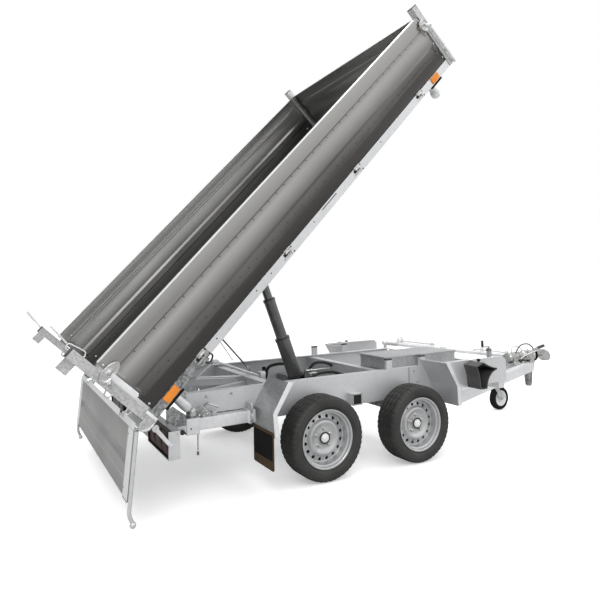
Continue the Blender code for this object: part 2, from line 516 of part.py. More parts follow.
# Telescopic cylinder
eye_ray = math.atan2(EYE_W, EYE_U)
reach = math.hypot(EYE_U, EYE_W)
eye = Vector((PIVOT_X + reach * math.cos(TILT + eye_ray), PIVOT_Z + reach * math.sin(TILT + eye_ray)))
lean = eye - Vector((TRUNNION_X, TRUNNION_Z))
cylinder = empty("cylinder_frame", chassis, (TRUNNION_X, 0, TRUNNION_Z), math.atan2(lean.x, lean.y))
part("cylinder_barrel", "black_paint", cylinder,
     [lathe([(0, -0.050), (BARREL_R, -0.050), (BARREL_R, 0.270), (BARREL_R + 0.006, 0.272),
             (BARREL_R + 0.006, 0.300),
             (STAGE_R[0] + 0.001, 0.300), (STAGE_R[0] + 0.001, -0.035), (0, -0.035)], 32, "Z"),
      *[rod((0, s * (BARREL_R - 0.004), 0), (0, s * (TRUNNION_Y - SEAT), 0), 0.024, 16)
        for s in (-1, 1)]], smooth=True)
for i, r in enumerate(STAGE_R):
    top = CLOSED_END[i] + (i + 1) * STROKE
    bottom = top - 0.330
    if i < 2:
        profile = [(0, bottom), (r, bottom), (r, top - 0.022), (r + 0.003, top - 0.020),
                   (r + 0.003, top), (STAGE_R[i + 1] + 0.001, top),
                   (STAGE_R[i + 1] + 0.001, bottom + 0.012), (0, bottom + 0.012)]
        solids = [lathe(profile, 32, "Z")]
    else:
        top = lean.length
        solids = [lathe([(0, bottom), (r, bottom), (r, top - 0.030), (0, top - 0.030)], 32, "Z"),
                  rod((0, -0.035, top), (0, 0.035, top), EYE_R, 20),
                  rod((0, -(EAR_Y0 - SEAT), top), (0, EAR_Y0 - SEAT, top), EYE_PIN_R, 16)]
    part(f"cylinder_stage_{i + 1}", "black_paint", cylinder, solids, smooth=True)

# Bed frame and floor
CROSS_U = (0.000, 0.500, EYE_U, 1.620, 2.140, 2.700)
LONG_W0, LONG_W1 = BEDRAIL_W0 - LONG_H, BEDRAIL_W0 + LONG_LAP
longs = [box(CROSS_U[0] - 0.040, CROSS_U[-1] + 0.090, *sorted((s * LONG_Y0, s * LONG_Y1)), LONG_W0,
             LONG_W1)
         for s in (-1, 1)]
cross = [box(u - 0.030, u + 0.030, -RAIL_IN_Y + SEAT, RAIL_IN_Y - SEAT, BEDRAIL_W0, FLOOR_W - SEAT)
         for u in CROSS_U]
legs = [rod((0, s * PIVOT_Y, BALL_R + SEAT), (0, s * PIVOT_Y, LONG_W1), 0.025, 20) for s in (-1, 1)]
ears = [prism([(EYE_U - 0.045, LONG_W1), (EYE_U + 0.045, LONG_W1),
               (EYE_U + 0.025, EYE_W - 0.030), (EYE_U - 0.025, EYE_W - 0.030)],
              "Y", *sorted((s * EAR_Y0, s * EAR_Y1))) for s in (-1, 1)]
bosses = [rod((EYE_U, s * (EAR_Y1 - 0.002), EYE_W), (EYE_U, s * (EAR_Y1 + 0.008), EYE_W), EYE_PIN_R, 16)
          for s in (-1, 1)]
leg_u, leg_w = CROSS_U[-1] + 0.047, BEDRAIL_W0 - 0.102
for s in (-1, 1):
    legs += [rod((leg_u, s * FRONT_LEG_Y, leg_w), (leg_u, s * FRONT_LEG_Y, FLOOR_W - 0.006),
                 FRONT_LEG_R - 0.007, 20),
             ball((leg_u, s * FRONT_LEG_Y, leg_w), FRONT_LEG_R)]
part("bed_subframe", "galvanised", bed, [*longs, *cross, *legs, *ears, *bosses])
part("bed_floor", "galvanised", bed,
     [box(POST_U + SEAT, FRONT_IN_U - SEAT, -(RAIL_IN_Y - SEAT), RAIL_IN_Y - SEAT, FLOOR_W, FLOOR_W
          + FLOOR_T)])
for s, hand in ((-1, "right"), (1, "left")):
    part(f"bed_rail_{hand}", "galvanised_bright", bed,
         [box(POST_U + SEAT, FRONT_POST_U - SEAT, RAIL_IN_Y, WALL_OUT_Y, BEDRAIL_W0, BEDRAIL_W1)], side=s)
part("rear_sill", "galvanised_bright", bed,
     [box(POST_U - POST, POST_U, -(POST_IN_Y - SEAT), POST_IN_Y - SEAT, BEDRAIL_W0, FLOOR_W + FLOOR_T)]
     + [rod((GATE_AXIS_U, s * y0, GATE_AXIS_W), (GATE_AXIS_U, s * (y0 + HINGE_W), GATE_AXIS_W), HINGE_R)
        for s in (-1, 1) for y0 in (HINGE_Y0, HINGE_Y1)]
     + [box(GATE_AXIS_U, POST_U - POST + 0.002, *sorted((s * (y0 + 0.002), s * (y0 + 0.023))),
            GATE_AXIS_W - 0.009, GATE_AXIS_W + 0.003)
        for s in (-1, 1) for y0 in (HINGE_Y0, HINGE_Y1)])

# Corner posts and latches
for s, hand in ((-1, "right"), (1, "left")):
    y0, y1 = POST_IN_Y, POST_OUT_Y
    part(f"rear_post_{hand}", "galvanised_bright", bed,
         [box(POST_U - POST, POST_U, y0, y1, BEDRAIL_W0, REAR_POST_TOP),
          box(POST_U - 0.112, POST_U - POST + 0.002, y0 + 0.002, y0 + 0.015, REAR_POST_TOP - 0.065,
              REAR_POST_TOP - 0.005)], side=s)
    part(f"front_post_{hand}", "galvanised_bright", bed,
         [box(FRONT_POST_U, FRONT_POST_U + POST, y0, y1, BEDRAIL_W0, FRONT_POST_TOP)], side=s)

# Walls
PROFILE = ((0.000, 0.000), (0.074, 0.000), (0.084, 0.012), (0.148, 0.012), (0.158, 0.000),
           (0.192, 0.000), (0.202, 0.012),
           (0.246, 0.012), (0.256, 0.000), (WALL_H, 0.000))


def wall_outline(out_y, w0):
    """A ribbed sheet section: bands stand out, recesses step in on the outer face."""
    outer = [(out_y - d, w0 + t) for t, d in PROFILE]
    inner = [(out_y - WALL_T, w0 + PROFILE[-1][0]), (out_y - WALL_T, w0)]
    return outer + inner


for s, hand in ((-1, "right"), (1, "left")):
    wall = empty(f"side_wall_{hand}_frame", bed, (0, s * WALL_AXIS_Y, WALL_AXIS_W))
    outline = [(y - WALL_AXIS_Y, w - WALL_AXIS_W) for y, w in wall_outline(WALL_OUT_Y, WALL_W0)]
    knuckles = [rod((u - 0.030, 0, 0), (u + 0.030, 0, 0), 0.0065, 12)
                for u in (0.223, 0.979, 1.710, 2.483)]
    leaf = [(-0.0095, -0.002), (0.004, -0.002), (0.004, 0.045), (-0.015, 0.045), (-0.015, 0.018),
            (-0.0095, 0.018)]
    straps = [prism(leaf, "X", u - 0.028, u + 0.028) for u in (0.223, 0.979, 1.710, 2.483)]
    face = WALL_OUT_Y - WALL_AXIS_Y
    high = WALL_W0 + WALL_H - LATCH_DROP - WALL_AXIS_W
    latches = []
    for u, inward, boss_r, disc_r in ((WALL_U0 + 0.004, 1, 0.016, LATCH_R),
                                      (WALL_U1 - 0.004, -1, 0.016, LATCH_R - 0.004)):
        far = face + LATCH_OUT
        pin = u + inward * 0.022
        latches += [rod((pin, face - 0.001, high), (pin, far - 0.006, high), boss_r, 12),
                    rod((u, far - 0.014, high), (u, far - 0.006, high), disc_r, 24),
                    prism([(u - 0.013, high - 0.010), (u - 0.010, high - 0.170),
                           (u + 0.002, high - 0.184),
                           (u + 0.014, high - 0.176), (u + 0.012, high - 0.010)], "Y", far - 0.008, far)]
    part(f"side_wall_{hand}", "sheet_wall", wall,
         [prism(outline, "X", WALL_U0, WALL_U1), *straps, *knuckles, *latches], side=s)
FRONT_OUT_U = FRONT_IN_U + FRONT_T
FRONT_LINE = [(FRONT_OUT_U, FLOOR_W)] + [(FRONT_OUT_U - d, WALL_W0 + t) for t, d in PROFILE[1:-1]]
FRONT_LINE += [(FRONT_OUT_U, WALL_W0 + WALL_H), (FRONT_IN_U, WALL_W0 + WALL_H), (FRONT_IN_U, FLOOR_W)]
part("front_wall", "sheet_wall", bed, [prism(FRONT_LINE, "Y", -(POST_IN_Y - SEAT), POST_IN_Y - SEAT)])

# Tailgate
half = GATE_HALF
panel = box(0.0, GATE_T, -half, half, 0.014, GATE_H + 0.006)
tongues = [box(0.001, 0.009, *sorted((s * 0.569, s * 0.621)), -0.002, 0.030) for s in (-1, 1)]
barrels = [rod((0, s * (HINGE_Y0 + HINGE_W + SEAT), 0), (0, s * (HINGE_Y1 - SEAT), 0), HINGE_R)
           for s in (-1, 1)]
groove = box(GATE_T - 0.010, GATE_T + 0.010, -half + 0.060, half - 0.060, *GROOVE)
rods = []
for s in (-1, 1):
    y = s * (half + 0.007)
    rods += [rod((0.012, y, 0.020), (0.012, y, ROD_LEN - 0.045), ROD_R),
             rod((0.012, y, ROD_LEN - 0.052), (ROD_KINK, y, ROD_LEN - 0.006), ROD_R - 0.001),
             ball((ROD_KINK, y, ROD_LEN - 0.002), 0.013)]
part("tailgate", "galvanised", gate, [panel, *tongues, *barrels, *rods], [groove])
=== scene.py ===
"""Looks of a tandem-axle three-way tipping trailer, its bed raised and its tailgate hanging."""

import math

import bpy
from mathutils import Matrix, Vector


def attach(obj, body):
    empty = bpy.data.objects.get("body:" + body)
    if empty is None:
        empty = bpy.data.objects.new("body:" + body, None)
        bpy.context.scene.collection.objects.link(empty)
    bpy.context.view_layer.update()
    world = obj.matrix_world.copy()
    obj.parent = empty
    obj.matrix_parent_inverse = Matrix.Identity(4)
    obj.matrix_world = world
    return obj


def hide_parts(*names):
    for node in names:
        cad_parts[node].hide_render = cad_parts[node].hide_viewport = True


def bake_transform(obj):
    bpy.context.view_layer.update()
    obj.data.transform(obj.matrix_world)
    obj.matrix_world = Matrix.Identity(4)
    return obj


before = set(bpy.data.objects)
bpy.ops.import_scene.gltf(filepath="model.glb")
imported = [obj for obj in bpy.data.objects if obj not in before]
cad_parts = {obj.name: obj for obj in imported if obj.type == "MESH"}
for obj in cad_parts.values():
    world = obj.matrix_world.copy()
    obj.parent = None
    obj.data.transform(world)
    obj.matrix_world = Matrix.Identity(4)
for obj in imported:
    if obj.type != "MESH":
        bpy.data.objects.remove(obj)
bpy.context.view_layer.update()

# Chassis rails: two folded sheet-steel side members, hot-dip galvanised in one bath with the rest of
# the frame. The zinc dries in pale grey flakes with a cloudy bloom. The chassis stands slightly
# nose-up on its jockey wheel, so its own frame is turned by that angle.
HANDS = (("right", -1), ("left", 1))
AXLES_X, AXLES_Z = -0.4322, 0.2625
CHASSIS = Matrix.Translation((AXLES_X, 0, AXLES_Z)) @ Matrix.Rotation(math.radians(-1.26), 4, "Y")


def effect(name, inputs):
    """An empty shader group that makes a shade and a height from a place and some values."""
    group = bpy.data.node_groups.new(name, "ShaderNodeTree")
    group.interface.new_socket(name="Vector", in_out="INPUT", socket_type="NodeSocketVector")
    for label, value in inputs.items():
        socket = group.interface.new_socket(name=label, in_out="INPUT", socket_type="NodeSocketFloat")
        socket.default_value = value
    for label in ("Shade", "Height"):
        group.interface.new_socket(name=label, in_out="OUTPUT", socket_type="NodeSocketFloat")
    return group, group.nodes.new("NodeGroupInput"), group.nodes.new("NodeGroupOutput")


def node(tree, kind, inputs=None, **settings):
    """A shader node with some of its settings and inputs given."""
    made = tree.nodes.new("ShaderNode" + kind)
    for label, value in settings.items():
        setattr(made, label, value)
    for label, value in (inputs or {}).items():
        made.inputs[label].default_value = value
    return made


def wire(tree, *links):
    """Joins outputs to inputs: each link names a node and its output, then a node and its input."""
    for source, out, target, into in links:
        tree.links.new(source.outputs[out], target.inputs[into])


zinc_flakes, taken, given = effect("zinc flakes",
                                   {"Flake Scale": 55.0, "Cloud Scale": 2.2, "Flake Share": 0.5})
flake = node(zinc_flakes, "TexVoronoi")
cloud = node(zinc_flakes, "TexNoise", {"Detail": 6, "Roughness": 0.62})
split = node(zinc_flakes, "SeparateColor")
blend = node(zinc_flakes, "Mix")
wire(zinc_flakes, (taken, "Vector", flake, "Vector"), (taken, "Vector", cloud, "Vector"),
     (taken, "Flake Scale", flake, "Scale"), (taken, "Cloud Scale", cloud, "Scale"),
     (flake, "Color", split, "Color"), (taken, "Flake Share", blend, "Factor"),
     (cloud, "Fac", blend, "A"), (split, "Red", blend, "B"), (blend, "Result", given, "Shade"),
     (split, "Green", given, "Height"))


def finish(name, low, high, rough, metallic, group, values, bump=0.05, coat=0.0):
    """A material whose colour and roughness run between two ends along a group's shade."""
    material = bpy.data.materials.new(name)
    material.use_nodes = True
    tree = material.node_tree
    shader = tree.nodes["Principled BSDF"]
    shader.inputs["Metallic"].default_value = metallic
    shader.inputs["Coat Weight"].default_value = coat
    place = node(tree, "TexCoord")
    mapping = node(tree, "Mapping")
    texture = node(tree, "Group", values, node_tree=group)
    colour = node(tree, "ValToRGB")
    colour.color_ramp.elements[0].position, colour.color_ramp.elements[1].position = 0.28, 0.72
    colour.color_ramp.elements[0].color = (*low, 1)
    colour.color_ramp.elements[1].color = (*high, 1)
    polish = node(tree, "MapRange", {"To Min": rough[0], "To Max": rough[1]})
    relief = node(tree, "Bump", {"Strength": bump, "Distance": 0.002})
    wire(tree, (place, "Object", mapping, "Vector"), (mapping, "Vector", texture, "Vector"),
         (texture, "Shade", colour, "Fac"), (texture, "Shade", polish, "Value"),
         (texture, "Height", relief, "Height"), (colour, "Color", shader, "Base Color"),
         (polish, "Result", shader, "Roughness"), (relief, "Normal", shader, "Normal"))
    return material


def dress(material, *names):
    """Gives CAD nodes their finish."""
    for name in names:
        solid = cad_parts[name]
        solid.data.materials.clear()
        solid.data.materials.append(material)


galvanised = finish("galvanised frame", (0.58, 0.59, 0.60), (0.68, 0.69, 0.70), (0.44, 0.34), 0.45,
                    zinc_flakes, {"Flake Scale": 70, "Cloud Scale": 2.0, "Flake Share": 0.15}, bump=0.01)
mottled = finish("mottled zinc", (0.13, 0.133, 0.135), (0.40, 0.405, 0.41), (0.48, 0.30), 0.70,
                 zinc_flakes, {"Flake Scale": 85, "Cloud Scale": 9.0, "Flake Share": 0.45}, bump=0.04)
dress(galvanised, "rail_right", "rail_left")
AS_DRAWN, FRAMES = Matrix.Identity(4), {"chassis": CHASSIS}


def edit(mode="EDIT"):
    bpy.ops.object.mode_set(mode=mode)


def only(obj):
    """Makes one object the selected and the active one."""
    bpy.ops.object.select_all(action="DESELECT")
    obj.select_set(True)
    bpy.context.view_layer.objects.active = obj


def settle(obj, material, body, place=None):
    """Bakes a finished piece's place into its mesh and hangs it on its body."""
    only(obj)
    obj.matrix_world = (place or FRAMES.get(body, AS_DRAWN)) @ obj.matrix_world
    bpy.ops.object.transform_apply(location=True, rotation=True, scale=True)
    if not obj.data.materials:
        obj.data.materials.append(material)
    if body:
        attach(obj, body)


def block(name, lo, hi, bevel=0.002, segments=2):
    """A bar sawn to two corners, its edges broken."""
    bpy.ops.object.select_all(action="DESELECT")
    bpy.ops.mesh.primitive_cube_add(size=1, location=[(a + b) / 2 for a, b in zip(lo, hi)])
    obj = bpy.context.object
    obj.name = name
    bpy.ops.transform.resize(value=[abs(b - a) for a, b in zip(lo, hi)])
    bpy.ops.object.transform_apply(location=True, rotation=True, scale=True)
    edit()
    bpy.ops.mesh.select_all(action="SELECT")
    bpy.ops.mesh.bevel(offset=bevel, segments=segments, affect="EDGES")
    edit("OBJECT")
    return obj


def join(name, pieces):
    bpy.ops.object.select_all(action="DESELECT")
    for piece in pieces:
        piece.select_set(True)
    bpy.context.view_layer.objects.active = pieces[0]
    bpy.ops.object.join()
    pieces[0].name = name
    return pieces[0]


def stud(name, at, radius, height, axis="Y", side=-1, sides=6, crown=0.35):
    """A bolt head or rivet: a short prism whose outer edge is chamfered."""
    turn = {"X": (0, math.pi / 2, 0), "Y": (math.pi / 2, 0, 0), "Z": (0, 0, 0)}[axis]
    shift = Vector({"X": (1, 0, 0), "Y": (0, 1, 0), "Z": (0, 0, 1)}[axis]) * side * height / 2
    bpy.ops.object.select_all(action="DESELECT")
    bpy.ops.mesh.primitive_cylinder_add(vertices=sides, radius=radius, depth=height, rotation=turn,
                                        location=Vector(at) + shift)
    obj = bpy.context.object
    obj.name = name
    bpy.ops.object.transform_apply(location=True, rotation=True, scale=True)
    edit()
    bpy.ops.mesh.select_all(action="SELECT")
    bpy.ops.mesh.bevel(offset=min(radius, height) * crown, segments=1, affect="EDGES")
    edit("OBJECT")
    return obj


zinc = finish("plated hardware", (0.42, 0.42, 0.415), (0.66, 0.66, 0.65), (0.36, 0.22), 0.85,
              zinc_flakes, {"Flake Scale": 120, "Cloud Scale": 14, "Flake Share": 0.3})
# Flat black that paints the shade inside holes, slots, tube mouths and gaps, where there is only shade.
shadow_black = finish("painted shadow black", (0.004, 0.004, 0.004), (0.008, 0.008, 0.008), (0.9, 0.8), 0.0,
                      zinc_flakes, {"Flake Scale": 60, "Cloud Scale": 8, "Flake Share": 0.4})
for hand, side in HANDS:
    seam = block(f"rail_seam_{hand}", (0.478, side * 0.5305, 0.170), (0.486, side * 0.5335, 0.346), 0.001)
    settle(seam, zinc, "chassis")
    heads = [stud("head", (x, side * 0.5303, z), 0.009, 0.007, side=side)
             for x, z in ((-1.090, 0.318), (-0.930, 0.318), (0.530, 0.318), (1.060, 0.318),
                          (0.560, 0.235))]
    settle(join(f"rail_bolts_{hand}", heads), zinc, "chassis")
    # The rail's openings are flat black plates that paint the shade behind them.
    holes = [block("hole", (x - w, side * 0.5247, z - h), (x + w, side * 0.5235, z + h), 0.0004, 1)
             for x, z, w, h in ((-0.980, 0.300, 0.030, 0.022), (-0.520, 0.270, 0.034, 0.030),
                                (0.080, 0.265, 0.026, 0.040), (-0.200, 0.270, 0.016, 0.016))]
    settle(join(f"rail_opening_shades_{hand}", holes), shadow_black, "chassis")
    # A flat black plate paints the shade inside the stub tube's open end.
    mouth = block(f"stub_mouth_shade_{hand}", (-0.0655, side * 0.586, 0.1525),
                  (-0.0015, side * 0.5885, 0.2155), 0.0004, 1)
    settle(mouth, shadow_black, "chassis")
    rim = [block("edge", lo, hi, 0.001) for lo, hi in (
        ((-0.0735, side * 0.588, 0.2155), (0.0065, side * 0.5925, 0.2235)),
        ((-0.0735, side * 0.588, 0.1445), (0.0065, side * 0.5925, 0.1525)),
        ((-0.0735, side * 0.588, 0.1445), (-0.0655, side * 0.5925, 0.2235)),
        ((-0.0015, side * 0.588, 0.1445), (0.0065, side * 0.5925, 0.2235)))]
    settle(join(f"stub_edge_{hand}", rim), zinc, "chassis")

# Black plastic end caps close the square buffer posts that the lowered bed comes to rest on.
# They are pushed in and stand 6 mm proud.
grain, taken, given = effect("moulded grain", {"Scale": 300.0})
speck = node(grain, "TexNoise", {"Detail": 3})
stain = node(grain, "TexNoise", {"Scale": 9, "Detail": 5})
wire(grain, (taken, "Vector", speck, "Vector"), (taken, "Vector", stain, "Vector"),
     (taken, "Scale", speck, "Scale"), (stain, "Fac", given, "Shade"), (speck, "Fac", given, "Height"))
# This black also paints shade: on the strip across the sill, the collar round each hub cap and the rivet
# dimples in the walls.
black_plastic_and_shade = finish("black moulding and painted shade", (0.010, 0.010, 0.011), (0.022, 0.022, 0.023), (0.50, 0.38), 0.0,
                       grain, {"Scale": 420}, bump=0.15)
for hand, side in HANDS:
    for number, x in enumerate((0.300, 0.620)):
        cap = block(f"buffer_cap_{hand}_{number}", (x - 0.027, side * 0.503, 0.4132),
                    (x + 0.027, side * 0.531, 0.424), 0.004, 3)
        settle(cap, black_plastic_and_shade, "chassis")

# Cross beams: square galvanised tubes welded between the two rails.
# They are dipped with the rails and take the same finish.
dress(galvanised, "crossmember_rear", "crossmember_front", "crossmember_nose")

# Axles: rubber-sprung swing arms on a square tube, galvanised, each with a drum brake whose back
# plate is painted black.
dress(mottled, "axle_rear", "axle_front")


def drawn(name, points):
    """One vertex pushed along a list of points, as the outline a sheet or a wheel starts from."""
    bpy.ops.object.select_all(action="DESELECT")
    bpy.ops.mesh.primitive_plane_add(size=0.01)
    obj = bpy.context.object
    obj.name = name
    edit()
    bpy.ops.mesh.select_mode(type="VERT")
    bpy.ops.mesh.select_all(action="SELECT")
    bpy.ops.mesh.merge(type="CENTER")
    bpy.ops.transform.translate(value=points[0])
    for a, b in zip(points, points[1:]):
        bpy.ops.mesh.extrude_vertices_move(TRANSFORM_OT_translate={"value": Vector(b) - Vector(a)})
    edit("OBJECT")
    return obj


def outwards():
    """Makes an edited mesh's normals point outwards and ends the edit."""
    bpy.ops.mesh.select_all(action="SELECT")
    bpy.ops.mesh.normals_make_consistent(inside=False)
    edit("OBJECT")


def spun(name, profile, steps, centre, axis="Y"):
    """A profile of (radius, along) spun about an axis; one that doesn't end on the axis is a ring."""
    if profile[-1][0]:
        profile = [*profile, profile[0]]
    turn = {"Y": lambda r, t: (r, t, 0), "X": lambda r, t: (t, r, 0), "Z": lambda r, t: (r, 0, t)}[axis]
    obj = drawn(name, [Vector(turn(r, t)) + Vector(centre) for r, t in profile])
    edit()
    bpy.ops.mesh.select_all(action="SELECT")
    bpy.ops.mesh.spin(steps=steps, angle=math.tau, center=centre,
                      axis={"X": (1, 0, 0), "Y": (0, 1, 0), "Z": (0, 0, 1)}[axis])
    bpy.ops.mesh.select_all(action="SELECT")
    bpy.ops.mesh.remove_doubles(threshold=0.00005)
    outwards()
    return obj


def smooth(obj, angle=35):
    only(obj)
    bpy.ops.object.shade_smooth_by_angle(angle=math.radians(angle))
    return obj


def pick(obj, test):
    """Leaves only the vertices whose place passes a test selected, and opens the mesh."""
    edit("OBJECT")
    for item in list(obj.data.polygons) + list(obj.data.edges):
        item.select = False
    for vertex in obj.data.vertices:
        vertex.select = test(vertex.co)
    edit()


# Tyres: 195/50 R13C commercial radials. Four grooves run round the tread and the shoulders are cut
# into blocks; a thin rib guards the rim, and the side wall is matt black with a smoother belt.
WHEELS = (("rear", -0.381), ("front", 0.381))
TYRE_R, TYRE_IN, TYRE_OUT = 0.2625, 0.585, 0.775
SUNK = (0.984, 1, 0.984)
rubber_tread, taken, given = effect("tread rubber", {"Sipes": 90.0})
parts_of = node(rubber_tread, "SeparateXYZ")
angle = node(rubber_tread, "Math", operation="ARCTAN2")
turns = node(rubber_tread, "Math", operation="MULTIPLY")
wave = node(rubber_tread, "Math", operation="SINE")
dust = node(rubber_tread, "TexNoise", {"Scale": 7, "Detail": 6})
fine = node(rubber_tread, "TexNoise", {"Scale": 160})
total = node(rubber_tread, "Math", {1: 0.25}, operation="MULTIPLY_ADD")
wire(rubber_tread, (taken, "Vector", parts_of, "Vector"), (taken, "Vector", dust, "Vector"),
     (taken, "Vector", fine, "Vector"), (parts_of, "Z", angle, 0), (parts_of, "X", angle, 1),
     (angle, 0, turns, 0), (taken, "Sipes", turns, 1), (turns, 0, wave, 0), (wave, 0, total, 0),
     (fine, "Fac", total, 2), (dust, "Fac", given, "Shade"), (total, 0, given, "Height"))
GROOVES = ((-0.053, 0.0042), (-0.018, 0.0058), (0.018, 0.0058), (0.053, 0.0042))
half = (TYRE_OUT - TYRE_IN) / 2
tread = []
for centre, width in GROOVES:
    tread += [(TYRE_R - 0.0004, centre - width), (TYRE_R - 0.0085, centre - width * 0.6),
              (TYRE_R - 0.0085, centre + width * 0.6), (TYRE_R - 0.0004, centre + width)]
side_wall = [(TYRE_R - 0.0030, half - 0.021), (TYRE_R - 0.0095, half - 0.010),
             (TYRE_R - 0.020, half - 0.0035), (TYRE_R - 0.023, half - 0.0045),
             (TYRE_R - 0.034, half - 0.0005), (TYRE_R - 0.044, half - 0.001),
             (TYRE_R - 0.052, half - 0.004), (TYRE_R - 0.056, half - 0.0035),
             (TYRE_R - 0.064, half - 0.011), (TYRE_R - 0.072, half - 0.019),
             (TYRE_R - 0.0765, half - 0.0235), (TYRE_R - 0.090, half - 0.034)]
section = [(r, -t) for r, t in reversed(side_wall)] + tread + side_wall
for end, x in WHEELS:
    for hand, side in HANDS:
        body, hub = f"wheel_{end}_{hand}", (x + AXLES_X, 0, AXLES_Z)
        tyre = spun(f"tyre_tread_{end}_{hand}", [(r, side * (TYRE_OUT - half) + t) for r, t in section],
                    192, hub)
        middle = side * (TYRE_OUT - half)

        def ring(co, hub=hub, middle=middle):
            """Distance from the wheel's axle, step round it, and distance from the tread's middle."""
            turn = round(math.atan2(co.z - hub[2], co.x - hub[0]) * 192 / math.tau)
            return math.hypot(co.x - hub[0], co.z - hub[2]), turn, abs(co.y - middle)

        pick(tyre, lambda co: ring(co)[2] < 0.060 and ring(co)[0] > TYRE_R - 0.010
             and ring(co)[1] % 8 in (0, 1, 2, 3))
        bpy.ops.transform.translate(value=(0, 0.0045, 0))
        pick(tyre, lambda co: ring(co)[1] % 4 == 0 and ring(co)[0] > TYRE_R - 0.0215
             and 0.062 < ring(co)[2] < half - 0.003)
        bpy.ops.transform.resize(value=SUNK, center_override=hub)
        pick(tyre, lambda co: ring(co)[2] < 0.058 and ring(co)[0] > TYRE_R - 0.002
             and ring(co)[1] % 6 == 0)
        bpy.ops.transform.resize(value=SUNK, center_override=hub)
        edit("OBJECT")
        rubber = finish(f"tyre rubber {end} {hand}", (0.016, 0.0155, 0.0148), (0.034, 0.033, 0.031),
                        (0.72, 0.58), 0.0, rubber_tread, {"Sipes": 0.0}, bump=0.22)
        rubber.node_tree.nodes["Mapping"].inputs["Location"].default_value = (-hub[0], 0, -hub[2])
        settle(smooth(tyre, 32), rubber, body)
        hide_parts(f"tyre_{end}_{hand}")

# Rims: 13 inch pressed steel wheels in silver paint. The disc is dished round a raised ring, with
# sixteen round vents under the well and five wheel bolts about a bright hub cap.
DISC_Y, VENT_RING, BOLT_RING = 0.705, 0.133, 0.056
rim_paint = finish("silver wheel paint", (0.44, 0.445, 0.45), (0.54, 0.545, 0.55), (0.40, 0.28), 0.65,
                   grain, {"Scale": 90}, bump=0.03, coat=0.25)
pale_cap = finish("pale hub cap", (0.66, 0.66, 0.65), (0.78, 0.78, 0.77), (0.40, 0.30), 0.10, grain,
                  {"Scale": 80}, bump=0.02)
dish = [(0.0, 0.010), (0.031, 0.010), (0.034, 0.000), (0.040, -0.003), (0.066, -0.003), (0.078, 0.000),
        (0.088, 0.008), (0.098, 0.011), (0.108, 0.008), (0.114, 0.000), (0.120, -0.006),
        (0.146, -0.012), (0.151, -0.010), (0.1535, -0.002), (0.157, 0.020), (0.160, 0.030),
        (0.168, 0.034), (0.171, 0.040), (0.172, 0.0480), (0.176, 0.0515), (0.1835, 0.0520),
        (0.1840, 0.0475), (0.1835, 0.0445), (0.174, 0.0435), (0.172, 0.026), (0.164, 0.016),
        (0.156, -0.010), (0.154, -0.070), (0.172, -0.092), (0.1835, -0.0935), (0.1835, -0.0980),
        (0.170, -0.0980), (0.152, -0.074), (0.150, -0.020), (0.120, -0.013), (0.098, 0.003),
        (0.078, -0.007), (0.0, -0.009)]
for end, x in WHEELS:
    for hand, side in HANDS:
        body, hub = f"wheel_{end}_{hand}", (x + AXLES_X, side * DISC_Y, AXLES_Z)
        rim = spun(f"wheel_disc_{end}_{hand}", [(r, side * t) for r, t in dish], 96, hub)
        drill = []
        for k in range(16):
            a = (k + 0.5) * math.tau / 16
            bpy.ops.object.select_all(action="DESELECT")
            at = (hub[0] + VENT_RING * math.cos(a), hub[1], hub[2] + VENT_RING * math.sin(a))
            bpy.ops.mesh.primitive_cylinder_add(vertices=20, radius=0.0112, depth=0.05, location=at,
                                                rotation=(math.pi / 2, 0, 0))
            drill.append(bpy.context.object)
        drill = join("vent drill", drill)
        bpy.context.view_layer.objects.active = rim
        cut = rim.modifiers.new("vents", "BOOLEAN")
        cut.operation, cut.solver, cut.object = "DIFFERENCE", "EXACT", drill
        bpy.ops.object.modifier_apply(modifier=cut.name)
        bpy.data.objects.remove(drill)
        settle(smooth(rim, 30), rim_paint, body)
        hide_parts(f"rim_{end}_{hand}")
        dark = spun(f"vent_shade_{end}_{hand}",
                    [(0.112, -side * 0.016), (0.149, -side * 0.026), (0.149, -side * 0.029),
                     (0.112, -side * 0.019)], 48, hub)
        settle(dark, shadow_black, body)
        collar = spun(f"hub_shade_{end}_{hand}",
                      [(0.0285, side * 0.0108), (0.0385, side * 0.0108), (0.0385, side * 0.0128),
                       (0.0285, side * 0.0128)], 40, hub)
        settle(collar, black_plastic_and_shade, body)
        y = hub[1] + side * 0.010
        cap = spun(f"hub_cap_{end}_{hand}",
                   [(0, side * 0.018), (0.012, side * 0.0172), (0.023, side * 0.0125),
                    (0.0275, side * 0.006), (0.0285, 0), (0, 0)], 40, (hub[0], y, hub[2]))
        settle(smooth(cap, 50), pale_cap, body)
        nuts = []
        for k in range(5):
            a = (k + 0.25) * math.tau / 5
            at = (hub[0] + BOLT_RING * math.cos(a), hub[1] - side * 0.004,
                  hub[2] + BOLT_RING * math.sin(a))
            nuts.append(stud("nut", at, 0.0105, 0.018, side=side, crown=0.3))
            nuts.append(stud("washer", at, 0.0145, 0.005, side=side, sides=20, crown=0.3))
        settle(join(f"wheel_bolts_{end}_{hand}", nuts), zinc, body)

# Mudguards: folded galvanised sheet round each pair of wheels, a bright flange on the outer edge painted
# white as a painted highlight; the rear pair is a darker zinc copy as painted shade. The front pair
# carries the side panel ahead of it, with a fold along its top.
GUARD_OUT = 0.8003


def extrude(by):
    bpy.ops.mesh.extrude_region_move(TRANSFORM_OT_translate={"value": by})


def upright(y, *spots):
    """Points in the upright plane at y, from their x and z."""
    return [(x, y, z) for x, z in spots]


def plate(name, outline, push, bevel=0.001, segments=1):
    """A flat outline filled and pushed through to its thickness."""
    obj = drawn(name, outline)
    edit()
    bpy.ops.mesh.select_all(action="SELECT")
    bpy.ops.mesh.edge_face_add()
    extrude(push)
    bpy.ops.mesh.select_all(action="SELECT")
    bpy.ops.mesh.normals_make_consistent(inside=False)
    if bevel:
        bpy.ops.mesh.bevel(offset=bevel, segments=segments, affect="EDGES")
    edit("OBJECT")
    return obj


